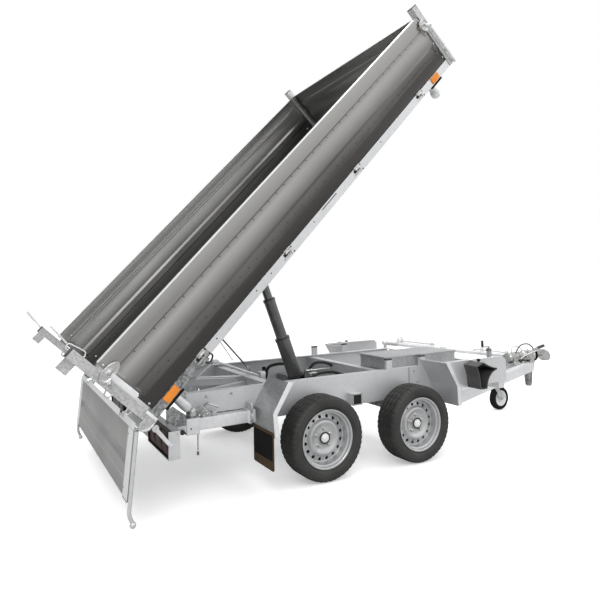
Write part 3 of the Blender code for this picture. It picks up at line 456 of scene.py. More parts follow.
bright = finish("bright zinc sheet", (0.58, 0.59, 0.60), (0.68, 0.69, 0.70), (0.36, 0.26), 0.60,
                zinc_flakes, {"Flake Scale": 60, "Cloud Scale": 1.6, "Flake Share": 0.15}, bump=0.01)
# White zinc is also used as painted highlight: on the mudguards' flanges, the walls' top flanges and a
# step on the tailgate.
white_zinc_and_highlight = finish("white zinc and painted highlight", (0.66, 0.67, 0.68), (0.78, 0.79, 0.80), (0.42, 0.30), 0.45,
                    zinc_flakes, {"Flake Scale": 60, "Cloud Scale": 3.0, "Flake Share": 0.25},
                    bump=0.02)
# A darker copy of the frame's zinc that paints shade on the rear mudguards.
shaded_guard_zinc = finish("rear guard zinc, painted shade", (0.34, 0.345, 0.35), (0.52, 0.525, 0.53), (0.46, 0.34), 0.60,
                    zinc_flakes, {"Flake Scale": 80, "Cloud Scale": 4.0, "Flake Share": 0.25},
                    bump=0.02)
dress(shaded_guard_zinc, "rear_mudguard_right", "rear_mudguard_left")
dress(bright, "front_mudguard_right", "front_mudguard_left")
for hand, side in HANDS:
    y = side * GUARD_OUT
    # White strips over the outer flanges paint the highlight along these edges.
    edge = plate(f"rear_guard_edge_highlight_{hand}",
                 upright(y, (-0.680, 0.398), (-0.785, 0.226), (-0.775, 0.086), (-0.743, 0.088),
                         (-0.756, 0.220), (-0.642, 0.398)), (0, side * 0.003, 0))
    settle(edge, white_zinc_and_highlight, "chassis")
    edge = plate(f"front_guard_edge_highlight_{hand}",
                 upright(y, (0.590, 0.398), (0.692, 0.226), (0.698, 0.086), (0.732, 0.088),
                         (0.728, 0.216), (0.628, 0.398)), (0, side * 0.003, 0))
    settle(edge, white_zinc_and_highlight, "chassis")
    fold = block(f"panel_top_fold_{hand}", (0.625, side * 0.790, 0.3983),
                 (1.178, side * 0.8025, 0.4020), 0.0012)
    settle(fold, white_zinc_and_highlight, "chassis")

# Mud flaps: black rubber with a moulded ochre border, the lower band plain and the corners rounded.
# Each hangs behind its rear mudguard.
flap_rubber = finish("flap rubber", (0.005, 0.005, 0.005), (0.011, 0.011, 0.0105), (0.66, 0.54), 0.0,
                     grain, {"Scale": 260}, bump=0.12)
ochre = finish("ochre border", (0.045, 0.027, 0.006), (0.062, 0.037, 0.008), (0.62, 0.50), 0.0, grain,
               {"Scale": 200}, bump=0.08)


def rounded(y0, y1, z0, z1, r, x, steps=5):
    """Outline of a rectangle with round corners in a plane across the trailer."""
    spots = []
    for cy, cz, start in ((y1 - r, z1 - r, 0), (y0 + r, z1 - r, 1), (y0 + r, z0 + r, 2),
                          (y1 - r, z0 + r, 3)):
        for k in range(steps + 1):
            a = (start + k / steps) * math.pi / 2
            spots.append((x, cy + r * math.cos(a), cz + r * math.sin(a)))
    return spots


flap_rubber.node_tree.nodes["Principled BSDF"].inputs["Specular IOR Level"].default_value = 0.1
for hand, side in HANDS:
    y0, y1 = sorted((side * 0.522, side * 0.796))
    back = plate(f"flap_{hand}", rounded(y0, y1, -0.108, 0.113, 0.016, -0.7823), (0.0048, 0, 0), 0)
    settle(smooth(back), ochre, "chassis")
    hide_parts(f"mud_flap_{hand}")
    face = plate(f"flap_face_{hand}", rounded(y0 + 0.014, y1 - 0.014, -0.052, 0.097, 0.011, -0.7836),
                 (0.0014, 0, 0), 0)
    settle(face, flap_rubber, "chassis")

# Wheel chocks: hollow black mouldings with two hollowed faces, one that fits the tyre and one below,
# held in a bracket on each side panel by a spring clip with a black knob.
CHOCK = ((0.762, 0.374), (0.772, 0.352), (0.782, 0.326), (0.790, 0.296), (0.795, 0.262), (0.796, 0.230),
         (0.800, 0.209), (0.835, 0.206), (0.868, 0.208), (0.873, 0.238), (0.883, 0.268), (0.900, 0.294),
         (0.924, 0.315), (0.952, 0.328), (0.974, 0.334), (0.975, 0.345), (0.940, 0.352), (0.895, 0.368),
         (0.835, 0.396), (0.800, 0.385))
chock_grey = finish("worn chock moulding", (0.030, 0.030, 0.031), (0.072, 0.072, 0.073), (0.62, 0.45),
                    0.0, grain, {"Scale": 160}, bump=0.35)
CHOCK_T, CHOCK_HOLLOW = 0.119, 0.104
for hand, side in HANDS:
    chock = plate(f"chock_{hand}", upright(side * GUARD_OUT, *CHOCK), (0, side * CHOCK_T, 0), 0)
    pick(chock, lambda co: abs(co.y) > GUARD_OUT + CHOCK_T - 0.0008)
    bpy.ops.mesh.inset(thickness=0.0075, depth=0)
    extrude((0, -side * CHOCK_HOLLOW, 0))
    outwards()
    settle(smooth(chock, 28), chock_grey, "chassis")
    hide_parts(f"wheel_chock_{hand}")
    # A flat black plate paints the shade deep in the chock's hollow.
    inside = plate(f"chock_hollow_shade_{hand}",
                   [(x * 0.80 + 0.169, side * 0.8155, z * 0.80 + 0.058) for x, z in CHOCK],
                   (0, side * 0.0015, 0), 0)
    settle(inside, shadow_black, "chassis")
    knob = spun(f"chock_knob_{hand}", [(0, 0.024), (0.011, 0.023), (0.015, 0.017), (0.012, 0.009),
                                       (0.007, 0.003), (0.007, -0.012), (0, -0.012)], 20,
                (0.872, side * 0.842, 0.3880), axis="Z")
    bolt = block("bracket", (0.850, side * GUARD_OUT, 0.372), (0.935, side * 0.8035, 0.392), 0.001)
    settle(smooth(knob, 50), black_plastic_and_shade, "chassis")
    settle(bolt, white_zinc_and_highlight, "chassis")

# Rear ball carriers: bright square tubes under the rails, the ball of the tipping axis on a stalk.
# A locking pin stands ahead of each ball and a second pin hangs on its chain at the tube's mouth.
BALL_X, BALL_Y, BALL_Z = -1.190, 0.560, 0.2497


def bent(name, points, radius, round_steps=3):
    """A drawn wire given its thickness, its ends closed."""
    obj = drawn(name, points)
    bpy.ops.object.convert(target="CURVE")
    obj = bpy.context.object
    obj.data.bevel_depth = radius
    obj.data.bevel_resolution = round_steps
    obj.data.use_fill_caps = True
    bpy.ops.object.convert(target="MESH")
    obj = bpy.context.object
    edit()
    bpy.ops.mesh.select_all(action="SELECT")
    bpy.ops.mesh.remove_doubles(threshold=0.00002)
    outwards()
    return obj


def eased(points, steps=6):
    """Extra points that round a path's corners."""
    path = [Vector(p) for p in points]
    out = [path[0]]
    for a, b, c in zip(path, path[1:], path[2:]):
        r = min((b - a).length, (c - b).length) * 0.45
        p, q = b + (a - b).normalized() * r, b + (c - b).normalized() * r
        out += [p.lerp(b, t).lerp(b.lerp(q, t), t) for t in (k / steps for k in range(steps + 1))]
    return out + [path[-1]]


for hand, side in HANDS:
    y0, y1 = sorted((side * 0.520, side * 0.600))
    tube = block(f"carrier_tube_{hand}", (-1.170, side * 0.524, 0.143), (-0.800, side * 0.5945, 0.2130),
                 0.004, 3)
    sleeve = block("sleeve", (-1.235, y0, 0.124), (-1.155, y1, 0.218), 0.004, 3)
    shoe = block("shoe", (-0.850, y0, 0.140), (-0.802, y1, 0.2177), 0.002)
    stalk = spun("stalk", [(0, -0.038), (0.017, -0.038), (0.015, -0.020), (0.019, -0.0145),
                           (0.0225, -0.008), (0.024, 0), (0.0225, 0.008), (0.0185, 0.015),
                           (0.012, 0.0207), (0, 0.024)], 24, (BALL_X, side * BALL_Y, BALL_Z), axis="Z")
    tube = join(f"carrier_tube_{hand}", [tube, sleeve, shoe, stalk])
    settle(smooth(tube), white_zinc_and_highlight, "chassis")
    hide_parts(f"ball_carrier_{hand}")
    # A flat black plate and bore paint the shade in the sleeve's open end.
    mouth = block(f"tube_mouth_shade_{hand}", (-1.2362, y0 + 0.006, 0.130), (-1.2348, y1 - 0.006, 0.212),
                  0.0003, 1)
    bore = stud("bore", (-1.208, side * 0.6002, 0.160), 0.0045, 0.001, side=side, sides=12)
    settle(join(f"tube_mouth_shade_{hand}", [mouth, bore]), shadow_black, "chassis")
    base = (-1.120, side * 0.566)
    pin = bent(f"lock_pin_{hand}", eased([(base[0], base[1], 0.205), (base[0], base[1], 0.275),
                                          (base[0] + 0.015, base[1] + side * 0.02, 0.292),
                                          (base[0] + 0.080, base[1] + side * 0.030, 0.262)]), 0.0075)
    clip = bent(f"lock_clip_{hand}",
                eased([(-1.170, side * 0.585, 0.270), (-1.145, side * 0.600, 0.285),
                       (-1.120, side * 0.606, 0.250), (-1.085, side * 0.600, 0.226)]), 0.0045)
    ring = bent("ring", eased([(-1.150, side * 0.592, 0.225), (-1.142, side * 0.600, 0.252),
                               (-1.118, side * 0.602, 0.256), (-1.102, side * 0.598, 0.232)]), 0.0040)
    seat = stud("seat", (base[0], base[1], 0.2132), 0.020, 0.018, "Z", 1, 20, 0.2)
    cup = spun("cup", [(0.0255, 0), (0.0315, 0), (0.0335, -0.008), (0.0335, -0.020), (0.0285, -0.024),
                       (0.0255, -0.014)], 28, (BALL_X, side * BALL_Y, BALL_Z), axis="Z")
    keeper = block("keeper", (-1.075, side * 0.575 - 0.012, 0.2132),
                   (-1.045, side * 0.575 + 0.012, 0.238), 0.002)
    settle(smooth(join(f"lock_pin_{hand}", [pin, clip, ring, seat, cup, keeper]), 40), zinc, "chassis")
    links = []
    for k in range(9):
        z = 0.118 - k * 0.0098
        bpy.ops.object.select_all(action="DESELECT")
        bpy.ops.mesh.primitive_torus_add(major_radius=0.0058, minor_radius=0.0017, major_segments=14,
                                         minor_segments=6, location=(-1.168, side * 0.597, z),
                                         rotation=(math.pi / 2, 0, (k % 2) * math.pi / 2))
        bpy.ops.transform.resize(value=(0.75, 0.75, 1.1))
        links.append(bpy.context.object)
    tag = stud("tag", (-1.168, side * 0.597, 0.0265), 0.007, 0.020, "Z", -1, 12, 0.3)
    settle(smooth(join(f"pin_chain_{hand}", links + [tag]), 50), mottled, "chassis")
    scallops = [(-0.838, side * (0.600 + 0.010 + 0.014 * abs(math.sin(k * math.pi / 4))),
                 0.262 - k * 0.0158) for k in range(9)]
    back = [(-0.838, side * 0.534, z) for z in (0.135, 0.262)]
    bracket = plate(f"tube_bracket_{hand}", scallops + back, (0.008, 0, 0), 0.001)
    dots = [stud("rivet", (-0.8382, side * 0.606, z), 0.004, 0.003, "X", -1, 10)
            for z in (0.155, 0.187, 0.219, 0.245)]
    settle(join(f"tube_bracket_{hand}", [bracket] + dots), zinc, "chassis")

# Lamp bar: a folded channel across the rear with a cluster of dark smoked lenses at each end. A thin
# stay and a bracket plate hold each end to its ball carrier's tube.
dress(bright, "lamp_bar")
lens_glow, taken, given = effect("lens ribs", {"Scale": 60.0})
ribs = node(lens_glow, "TexWave", bands_direction="DIAGONAL")
haze = node(lens_glow, "TexNoise", {"Scale": 25})
wire(lens_glow, (taken, "Vector", ribs, "Vector"), (taken, "Scale", ribs, "Scale"),
     (taken, "Vector", haze, "Vector"), (haze, "Fac", given, "Shade"), (ribs, "Fac", given, "Height"))
red_lens = finish("red lens", (0.055, 0.002, 0.002), (0.085, 0.003, 0.003), (0.42, 0.32), 0.0, lens_glow,
                  {"Scale": 90}, bump=0.10)
smoked_amber = finish("smoked amber lens", (0.070, 0.020, 0.001), (0.100, 0.030, 0.002), (0.42, 0.32),
                      0.0, lens_glow, {"Scale": 90}, bump=0.10)
amber_lens = finish("amber lens", (0.58, 0.17, 0.008), (0.70, 0.22, 0.012), (0.34, 0.24), 0.0, lens_glow,
                    {"Scale": 80}, bump=0.06)
LAMP_X, LAMP_FRONT, LAMP_FOOT, LAMP_TOP = -1.393, -1.3723, 0.065, 0.209
LAMP_INNER, LAMP_OUTER = 0.3547, 0.7847
for hand, side in HANDS:
    case = block(f"lamp_case_{hand}", (LAMP_X, side * LAMP_INNER, LAMP_FOOT),
                 (LAMP_FRONT, side * LAMP_OUTER, LAMP_TOP), 0)
    pick(case, lambda co: co.x < LAMP_X + 0.001)
    bpy.ops.mesh.inset(thickness=0.010, depth=0)
    extrude((0.011, 0, 0))
    edit("OBJECT")
    settle(case, black_plastic_and_shade, "chassis")
    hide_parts(f"tail_lamp_{hand}")
    for name, a, b, glass in (("stop", 0.368, 0.500, red_lens), ("turn", 0.504, 0.640, smoked_amber),
                              ("reflector", 0.644, 0.770, red_lens)):
        lens = block(f"{name}_lens_{hand}", (-1.3875, side * a, 0.078), (-1.3815, side * b, 0.196),
                     0.0025)
        settle(smooth(lens), glass, "chassis")
    bar = plate(f"lamp_stay_{hand}", upright(side * 0.790, (-1.470, 0.232), (-1.455, 0.249),
                                             (-1.380, 0.152), (-1.394, 0.140)), (0, side * 0.012, 0),
                0.002)
    lug = stud("lug", (-1.463, side * 0.790, 0.243), 0.019, 0.010, side=side, sides=20, crown=0.2)
    foot = stud("foot", (-1.384, side * 0.802, 0.147), 0.009, 0.006, side=side)
    settle(join(f"lamp_stay_{hand}", [bar, lug, foot]), white_zinc_and_highlight, "chassis")
    dots = [stud("bolt", (x, side * 0.7902, z), 0.0045, 0.003, side=side) for x, z in
            ((-1.378, 0.078), (-1.345, 0.078), (-1.345, 0.196))]
    settle(join(f"lamp_plate_bolts_{hand}", dots), zinc, "chassis")
    outline = ((-1.355, 0.280), (-1.314, 0.302), (-1.289, 0.281), (-1.247, 0.250), (-1.2375, 0.240),
               (-1.2375, 0.185), (-1.279, 0.181), (-1.335, 0.166))
    bracket = plate(f"lamp_bracket_{hand}", upright(side * 0.5984, *outline),
                    (0, side * 0.0028, 0), 0.0008)
    settle(bracket, mottled, "chassis")
    knob_at = (-1.262, side * 0.600, 0.150)
    knob = spun(f"bracket_knob_{hand}",
                [(0, 0.020), (0.012, 0.019), (0.015, 0.012), (0.010, 0.004), (0.006, -0.006),
                 (0, -0.006)], 20, knob_at)
    if side < 0:
        only(knob)
        bpy.ops.transform.rotate(value=math.pi, orient_axis="Z", center_override=knob_at)
    settle(smooth(knob, 50), black_plastic_and_shade, "chassis")

# Pump box: a folded sheet housing for the battery and hydraulic pump under a plain zinc lid, which
# lies on it and is held by two latches on its inner side.
# The box and its lid take that darker zinc copy too, so they are painted darker than the frame.
dress(shaded_guard_zinc, "pump_box")
lid = block("pump_lid", (0.297, -0.4875, 0.4252), (1.011, -0.154, 0.4290), 0.0015)
settle(lid, shaded_guard_zinc, "chassis")
for number, x in enumerate((0.470, 0.840)):
    latch = block(f"lid_latch_{number}", (x - 0.022, -0.1568, 0.372), (x + 0.022, -0.148, 0.415), 0.003)
    settle(latch, zinc, "chassis")

# Oil lines: two plated steel pipes are clipped on the left of the lift cylinder, clear of its swing,
# beside black rubber hoses with hexagon nuts.
pipes = []
for y, z in ((0.104, 0.262), (0.128, 0.284)):
    pipes.append(bent("pipe", eased([(-0.040, y, z - 0.050), (-0.030, y, z), (0.200, y, z),
                                     (0.360, y - 0.020, z)], 8), 0.0075, 3))
    pipes.append(stud("nut", (0.020, y, z), 0.0135, 0.026, "X", 1))
settle(smooth(join("oil_pipes", pipes), 50), zinc, "chassis")
hoses = [bent("hose", eased(path, 8), 0.0125, 4)
         for path in ([(-0.290, 0.300, 0.220), (-0.300, 0.260, 0.330), (-0.180, 0.200, 0.355),
                       (-0.080, 0.170, 0.300), (-0.050, 0.120, 0.235)],
                      [(-0.240, -0.180, 0.225), (-0.120, -0.200, 0.320), (0.040, -0.165, 0.315),
                       (0.180, -0.140, 0.262), (0.300, -0.200, 0.240)],
                      [(0.020, 0.180, 0.250), (0.080, 0.160, 0.345), (0.200, 0.135, 0.330),
                       (0.280, 0.110, 0.262)])]
settle(smooth(join("oil_hoses", hoses), 60), black_plastic_and_shade, "chassis")
clips = [block("clip", (x - 0.006, 0.092, 0.250), (x + 0.006, 0.140, 0.2545), 0.001)
         for x in (0.040, 0.150, 0.255)]
settle(join("pipe_clips", clips), zinc, "chassis")

# Service prop: a triangle of thin galvanised tube pivots on the rear cross beams under the bed. A
# braided safety cable and a thin cord run from the bed down to it and stop the bed at full tilt.
APEX, LEFT_FOOT, RIGHT_FOOT = (-0.836, 0.0, 0.447), (-0.974, 0.0, 0.345), (-0.468, 0.0, 0.300)
legs = [bent("leg", [APEX, LEFT_FOOT], 0.0085), bent("leg", [APEX, RIGHT_FOOT], 0.0085),
        bent("leg", [LEFT_FOOT, (-0.600, 0.0, 0.318), RIGHT_FOOT], 0.0075),
        bent("leg", [APEX, (-1.020, 0.20, 0.315)], 0.0085),
        bent("leg", [LEFT_FOOT, (-1.050, 0.10, 0.300)], 0.0085),
        block("foot", (-0.492, -0.030, 0.262), (-0.452, 0.030, 0.338), 0.003),
        block("head", (-0.862, -0.022, 0.430), (-0.812, 0.022, 0.456), 0.003)]
settle(smooth(join("service_prop", legs)), white_zinc_and_highlight, "chassis")
braid, taken, given = effect("braided wire", {"Scale": 300.0})
strand = node(braid, "TexWave", bands_direction="DIAGONAL")
wire(braid, (taken, "Vector", strand, "Vector"), (taken, "Scale", strand, "Scale"),
     (strand, "Fac", given, "Shade"), (strand, "Fac", given, "Height"))
cable_wire = finish("cable wire", (0.05, 0.05, 0.05), (0.30, 0.30, 0.30), (0.45, 0.30), 0.8, braid,
                    {"Scale": 55}, bump=0.4)
for name, low, high, radius in (("safety_cable", (-0.589, 0, 0.385), (-0.990, 0, 0.836), 0.0062),
                                ("release_cord", (-0.700, 0, 0.440), (-0.905, 0, 0.745), 0.0028)):
    cable = bent(name, [Vector(low).lerp(Vector(high), t / 24) for t in range(25)], radius)
    settle(smooth(cable, 60), cable_wire, None, CHASSIS)
    a, b = (CHASSIS @ Vector(low), CHASSIS @ Vector(high))
    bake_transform(cable)
eye = bent("cable_eye", eased([(-0.560, 0, 0.352), (-0.586, 0.012, 0.372), (-0.600, 0, 0.396),
                               (-0.580, -0.012, 0.380), (-0.560, 0, 0.352)]), 0.0045)
settle(smooth(eye, 60), zinc, "chassis")

# Drawbar: two box-section arms meet in a vee at the coupling, which slides in a greased housing and
# works the brakes through a rod. The bellows is black rubber, the lever has a black grip.
dress(white_zinc_and_highlight, "drawbar_arm_right", "drawbar_arm_left")
dress(zinc, "overrun_housing", "coupling_head", "handbrake_lever")
HOUSING_Z = 0.215
nose = spun("housing_barrel", [(0, 2.300), (0.0452, 2.300), (0.0500, 2.303), (0.0500, 2.330),
                               (0.0458, 2.336), (0.0456, 2.424), (0.0510, 2.430), (0.0530, 2.436),
                               (0.0530, 2.452), (0.0500, 2.458), (0.0500, 2.548), (0.0530, 2.553),
                               (0.0530, 2.5695), (0.046, 2.5700), (0, 2.5700)], 48, (0, 0, HOUSING_Z),
            axis="X")
settle(smooth(nose, 40), zinc, "chassis")
fixings = [stud("nipple", (x, 0.0, HOUSING_Z + 0.050), 0.0055, 0.016, "Z", 1, 8) for x in (2.375, 2.515)]
fixings += [stud("bolt", (x, y, 0.1712), 0.011, 0.012, "Z", 1) for x in (2.205, 2.262, 2.330, 2.440)
            for y in (-0.088, 0.088)]
settle(join("housing_bolts", fixings), zinc, "chassis")
post = spun("support_post", [(0, -0.086), (0.022, -0.086), (0.028, -0.080), (0.0315, -0.066),
                             (0.0350, -0.030), (0.0385, 0.020), (0.0410, 0.060), (0.0415, 0.112),
                             (0, 0.112)], 36, (2.512, 0, 0), axis="Z")
settle(smooth(post, 40), mottled, "chassis")
folds = [(0, 2.5703), (0.040, 2.5703)]
for x, crest, flank, valley in ((2.577, 0.056, 0.050, 0.040), (2.590, 0.057, 0.050, 0.040),
                                (2.603, 0.054, 0.048, 0.038)):
    folds += [(flank, x - 0.004), (crest, x), (flank, x + 0.004), (valley, x + 0.0065)]
folds += [(0.043, 2.612), (0.045, 2.616), (0.034, 2.620), (0.030, 2.622), (0, 2.622)]
bellows = spun("bellows_folds", folds, 44, (0, 0, HOUSING_Z - 0.006), axis="X")
settle(smooth(bellows, 60), flap_rubber, "chassis")
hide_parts("overrun_bellows")
shaft = spun("coupling_shaft", [(0, 2.6225), (0.0300, 2.6225), (0.0300, 2.700), (0, 2.700)], 32,
             (0, 0, HOUSING_Z - 0.004), axis="X")
clamps = [stud("clamp", (x, y, HOUSING_Z - 0.004), 0.010, 0.010, side=math.copysign(1, y))
          for x in (2.646, 2.682) for y in (-0.0352, 0.0352)]
catch = block("catch", (2.700, -0.0145, HOUSING_Z + 0.020), (2.772, 0.0145, HOUSING_Z + 0.046), 0.006, 3)
settle(smooth(join("coupling_fittings", [shaft, catch] + clamps), 40), mottled, "chassis")
grip = bent("brake_grip", upright(-0.064, (2.592, 0.2928), (2.600, 0.2942), (2.676, 0.3064),
                                  (2.682, 0.3074)), 0.0148, 5)
settle(smooth(grip, 60), black_plastic_and_shade, "chassis")
spring = bent("lever_strut", eased([(2.300, -0.080, 0.205), (2.360, -0.080, 0.232),
                                    (2.470, -0.080, 0.256), (2.545, -0.078, 0.268)]), 0.0085, 4)
quadrant = plate("lever_quadrant",
                 upright(-0.0745, (2.412, 0.190), (2.466, 0.190), (2.476, 0.214), (2.458, 0.244),
                         (2.428, 0.248), (2.408, 0.222)), (0, -0.004, 0), 0.001)
hub = stud("hub", (2.440, -0.078, 0.212), 0.014, 0.010, side=-1)
settle(smooth(join("handbrake_fittings", [quadrant, spring, hub]), 40), zinc, "chassis")
hose = bent("breakaway_cable", eased([(2.296, -0.030, 0.258), (2.318, -0.048, 0.318),
                                      (2.380, -0.050, 0.344), (2.470, -0.050, 0.340),
                                      (2.536, -0.045, 0.300), (2.552, -0.040, 0.266)], 8), 0.0058, 4)
settle(smooth(hose, 60), black_plastic_and_shade, "chassis")
link = bent("breakaway_link", eased([(2.285, 0.012, 0.258), (2.290, 0.014, 0.300),
                                     (2.330, 0.010, 0.322), (2.420, 0.008, 0.300),
                                     (2.440, 0.008, 0.262)], 8), 0.0040, 3)
settle(smooth(link, 60), zinc, "chassis")

# Stowed bar: the bed's support prop and the pump's drawbar rod lie clipped along the left arm. Two thin
# rods, four wire loops and three sleeves are fitted on them.
dress(white_zinc_and_highlight, "stowed_bar")
BAR_A, BAR_B = Vector((1.155, 0.620, 0.388)), Vector((2.470, 0.100, 0.193))


def along(x, up=0, out=0):
    """A point over the stowed bar's middle line."""
    return BAR_A.lerp(BAR_B, (x - BAR_A.x) / (BAR_B.x - BAR_A.x)) + Vector((0, out, up))


rods = [bent("rod", [along(1.312, 0.0375), along(1.656, 0.0375)], 0.0095, 4),
        bent("rod", eased([along(2.037, 0.026), along(2.080, 0.036), along(2.400, 0.033),
                           along(2.442, 0.026)]), 0.0075, 4)]
rods += [bent("loop", eased([along(x, 0.018), along(x, 0.052), along(x + 0.016, 0.052, -0.006),
                             along(x + 0.016, 0.018, -0.006)]), 0.0045)
         for x in (1.330, 1.620, 2.110, 2.360)]
settle(smooth(join("stowed_rods", rods), 50), white_zinc_and_highlight, "chassis")
sleeves = [bent("sleeve", [along(a), along(b)], 0.0218, 5)
           for a, b in ((1.190, 1.290), (1.700, 1.760), (2.385, 2.455))]
settle(smooth(join("stowed_sleeves", sleeves), 40), zinc, "chassis")

# Jockey wheel: a plated tube clamped to the left arm, with a crank on top, and a swivelling fork
# whose small solid rubber wheel has a pressed steel disc.
dress(zinc, "jockey_stem", "jockey_fork")
JOCKEY_R = 0.115
JOCKEY = (1.7923, 0.130, JOCKEY_R)
one_side = [(0.0765, -0.0285), (0.090, -0.0305), (0.100, -0.0300), (0.109, -0.0240), (0.1140, -0.0140)]
tread = spun("jockey_tread", one_side + [(JOCKEY_R, 0.0)] + [(r, -t) for r, t in reversed(one_side)],
             64, JOCKEY)
settle(smooth(tread, 50), flap_rubber, "jockey_wheel")
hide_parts("jockey_wheel")
one_side = [(0.0080, -0.0255), (0.0200, -0.0255), (0.0220, -0.0200), (0.0230, -0.0120),
            (0.0300, -0.0090), (0.0520, -0.0090), (0.0600, -0.0140), (0.0640, -0.0220),
            (0.0700, -0.0262), (0.0780, -0.0268)]
disc = spun("jockey_disc", one_side + [(r, -t) for r, t in reversed(one_side)], 56, JOCKEY)
settle(smooth(disc, 40), white_zinc_and_highlight, "jockey_wheel")
STEM = (2.100, 0.130)
clamp = spun("stem_clamp", [(0.0242, 0.086), (0.0335, 0.086), (0.0345, 0.089), (0.0345, 0.149),
                            (0.0335, 0.152), (0.0242, 0.152)], 32, (STEM[0], STEM[1], 0), axis="Z")
cap = spun("stem_cap", [(0, 0.309), (0.010, 0.309), (0.0262, 0.3035), (0.0268, 0.298), (0.0268, 0.280),
                        (0.0242, 0.278), (0, 0.278)], 32, (STEM[0], STEM[1], 0), axis="Z")
collar = spun("stem_collar", [(0.0242, 0.000), (0.0275, 0.000), (0.0280, 0.004), (0.0280, 0.030),
                              (0.0242, 0.034)], 32, (STEM[0], STEM[1], 0), axis="Z")
toggle = bent("toggle", eased([(STEM[0] + 0.030, STEM[1] - 0.004, 0.120),
                               (STEM[0] + 0.060, STEM[1] - 0.012, 0.120),
                               (STEM[0] + 0.064, STEM[1] - 0.016, 0.062)]), 0.0055)
settle(smooth(join("stem_fittings", [clamp, cap, collar, toggle]), 40), mottled, "chassis")
knob = spun("crank_knob", [(0, -0.004), (0.0105, -0.002), (0.0125, 0.006), (0.0115, 0.040),
                           (0.0125, 0.052), (0.0080, 0.058), (0, 0.058)], 24,
            (STEM[0] - 0.090, STEM[1], 0.330), axis="Z")
settle(smooth(knob, 50), black_plastic_and_shade, "chassis")
axle_nuts = [stud("nut", (JOCKEY[0], JOCKEY[1] + s * 0.0402, JOCKEY[2]), 0.0115, 0.008, side=s)
             for s in (-1, 1)]
settle(join("jockey_nuts", axle_nuts), zinc, "jockey_swivel")

# Lift cylinder: a three-stage telescopic ram, its barrel painted black and its stages in dark hard
# chrome, on two trunnions in a cradle. Each stage leaves the one below through a wiper ring.
gloss_black = finish("gloss black paint", (0.003, 0.003, 0.003), (0.005, 0.005, 0.005), (0.44, 0.34),
                     0.0, grain, {"Scale": 70}, bump=0.03)
gloss_black.node_tree.nodes["Principled BSDF"].inputs["Specular IOR Level"].default_value = 0.12
dark_chrome = finish("dark hard chrome", (0.12, 0.12, 0.122), (0.17, 0.17, 0.172), (0.34, 0.24), 0.75,
                     grain, {"Scale": 50}, bump=0.02)
dress(gloss_black, "cylinder_barrel")
dress(dark_chrome, "cylinder_stage_1", "cylinder_stage_2", "cylinder_stage_3")
dress(mottled, "cylinder_cradle")
RAM_X, RAM_LEAN = -0.088, math.radians(-19.909)
RAM = CHASSIS @ Matrix.Translation((RAM_X, 0, 0)) @ Matrix.Rotation(RAM_LEAN, 4, "Y")
for name, body, radius, top in (("gland_0", "cylinder_barrel", 0.0685, 0.300),
                                ("gland_1", "cylinder_stage_1", 0.0565, 0.613),
                                ("gland_2", "cylinder_stage_2", 0.0455, 0.926)):
    ring = spun(name, [(radius - 0.006, top + 0.0004), (radius - 0.001, top + 0.0004),
                       (radius + 0.0006, top - 0.002), (radius + 0.0006, top - 0.0065),
                       (radius - 0.001, top - 0.008), (radius - 0.006, top - 0.008)], 48, (0, 0, 0),
                axis="Z")
    settle(smooth(ring, 40), black_plastic_and_shade, body, RAM)

# Bed frame and floor: galvanised cross beams on two long members and a plain sheet floor. Four legs
# under the beams end in the cups that sit on the chassis balls, white with fresh zinc.
dress(mottled, "bed_subframe")
dress(galvanised, "bed_floor", "rear_sill")
BED_TILT = math.radians(-46.3)
BED = CHASSIS @ Matrix.Translation((BALL_X, 0, BALL_Z)) @ Matrix.Rotation(BED_TILT, 4, "Y")
FRAMES.update(bed=BED, side_wall_right=BED, side_wall_left=BED)
for hand, side in HANDS:
    leg = spun(f"ball_leg_{hand}", [(0.0252, 0.261), (0.0300, 0.261), (0.0300, 0.250), (0.0272, 0.246),
                                    (0.0272, 0.105), (0.0290, 0.088), (0.0300, 0.060), (0.0290, 0.036),
                                    (0.0255, 0.0255), (0.0252, 0.0255)], 40, (0, side * BALL_Y, 0),
               axis="Z")
    settle(smooth(leg, 50), white_zinc_and_highlight, "bed")
    cup = spun(f"front_cup_{hand}", [(0.0243, 0.256), (0.0285, 0.256), (0.0285, 0.246), (0.0262, 0.242),
                                     (0.0262, 0.190), (0.0320, 0.180), (0.0335, 0.160), (0.0300, 0.142),
                                     (0.0200, 0.131), (0, 0.1285), (0, 0.1287)], 40,
               (2.747, side * 0.780, 0), axis="Z")
    settle(smooth(cup, 50), white_zinc_and_highlight, "bed")

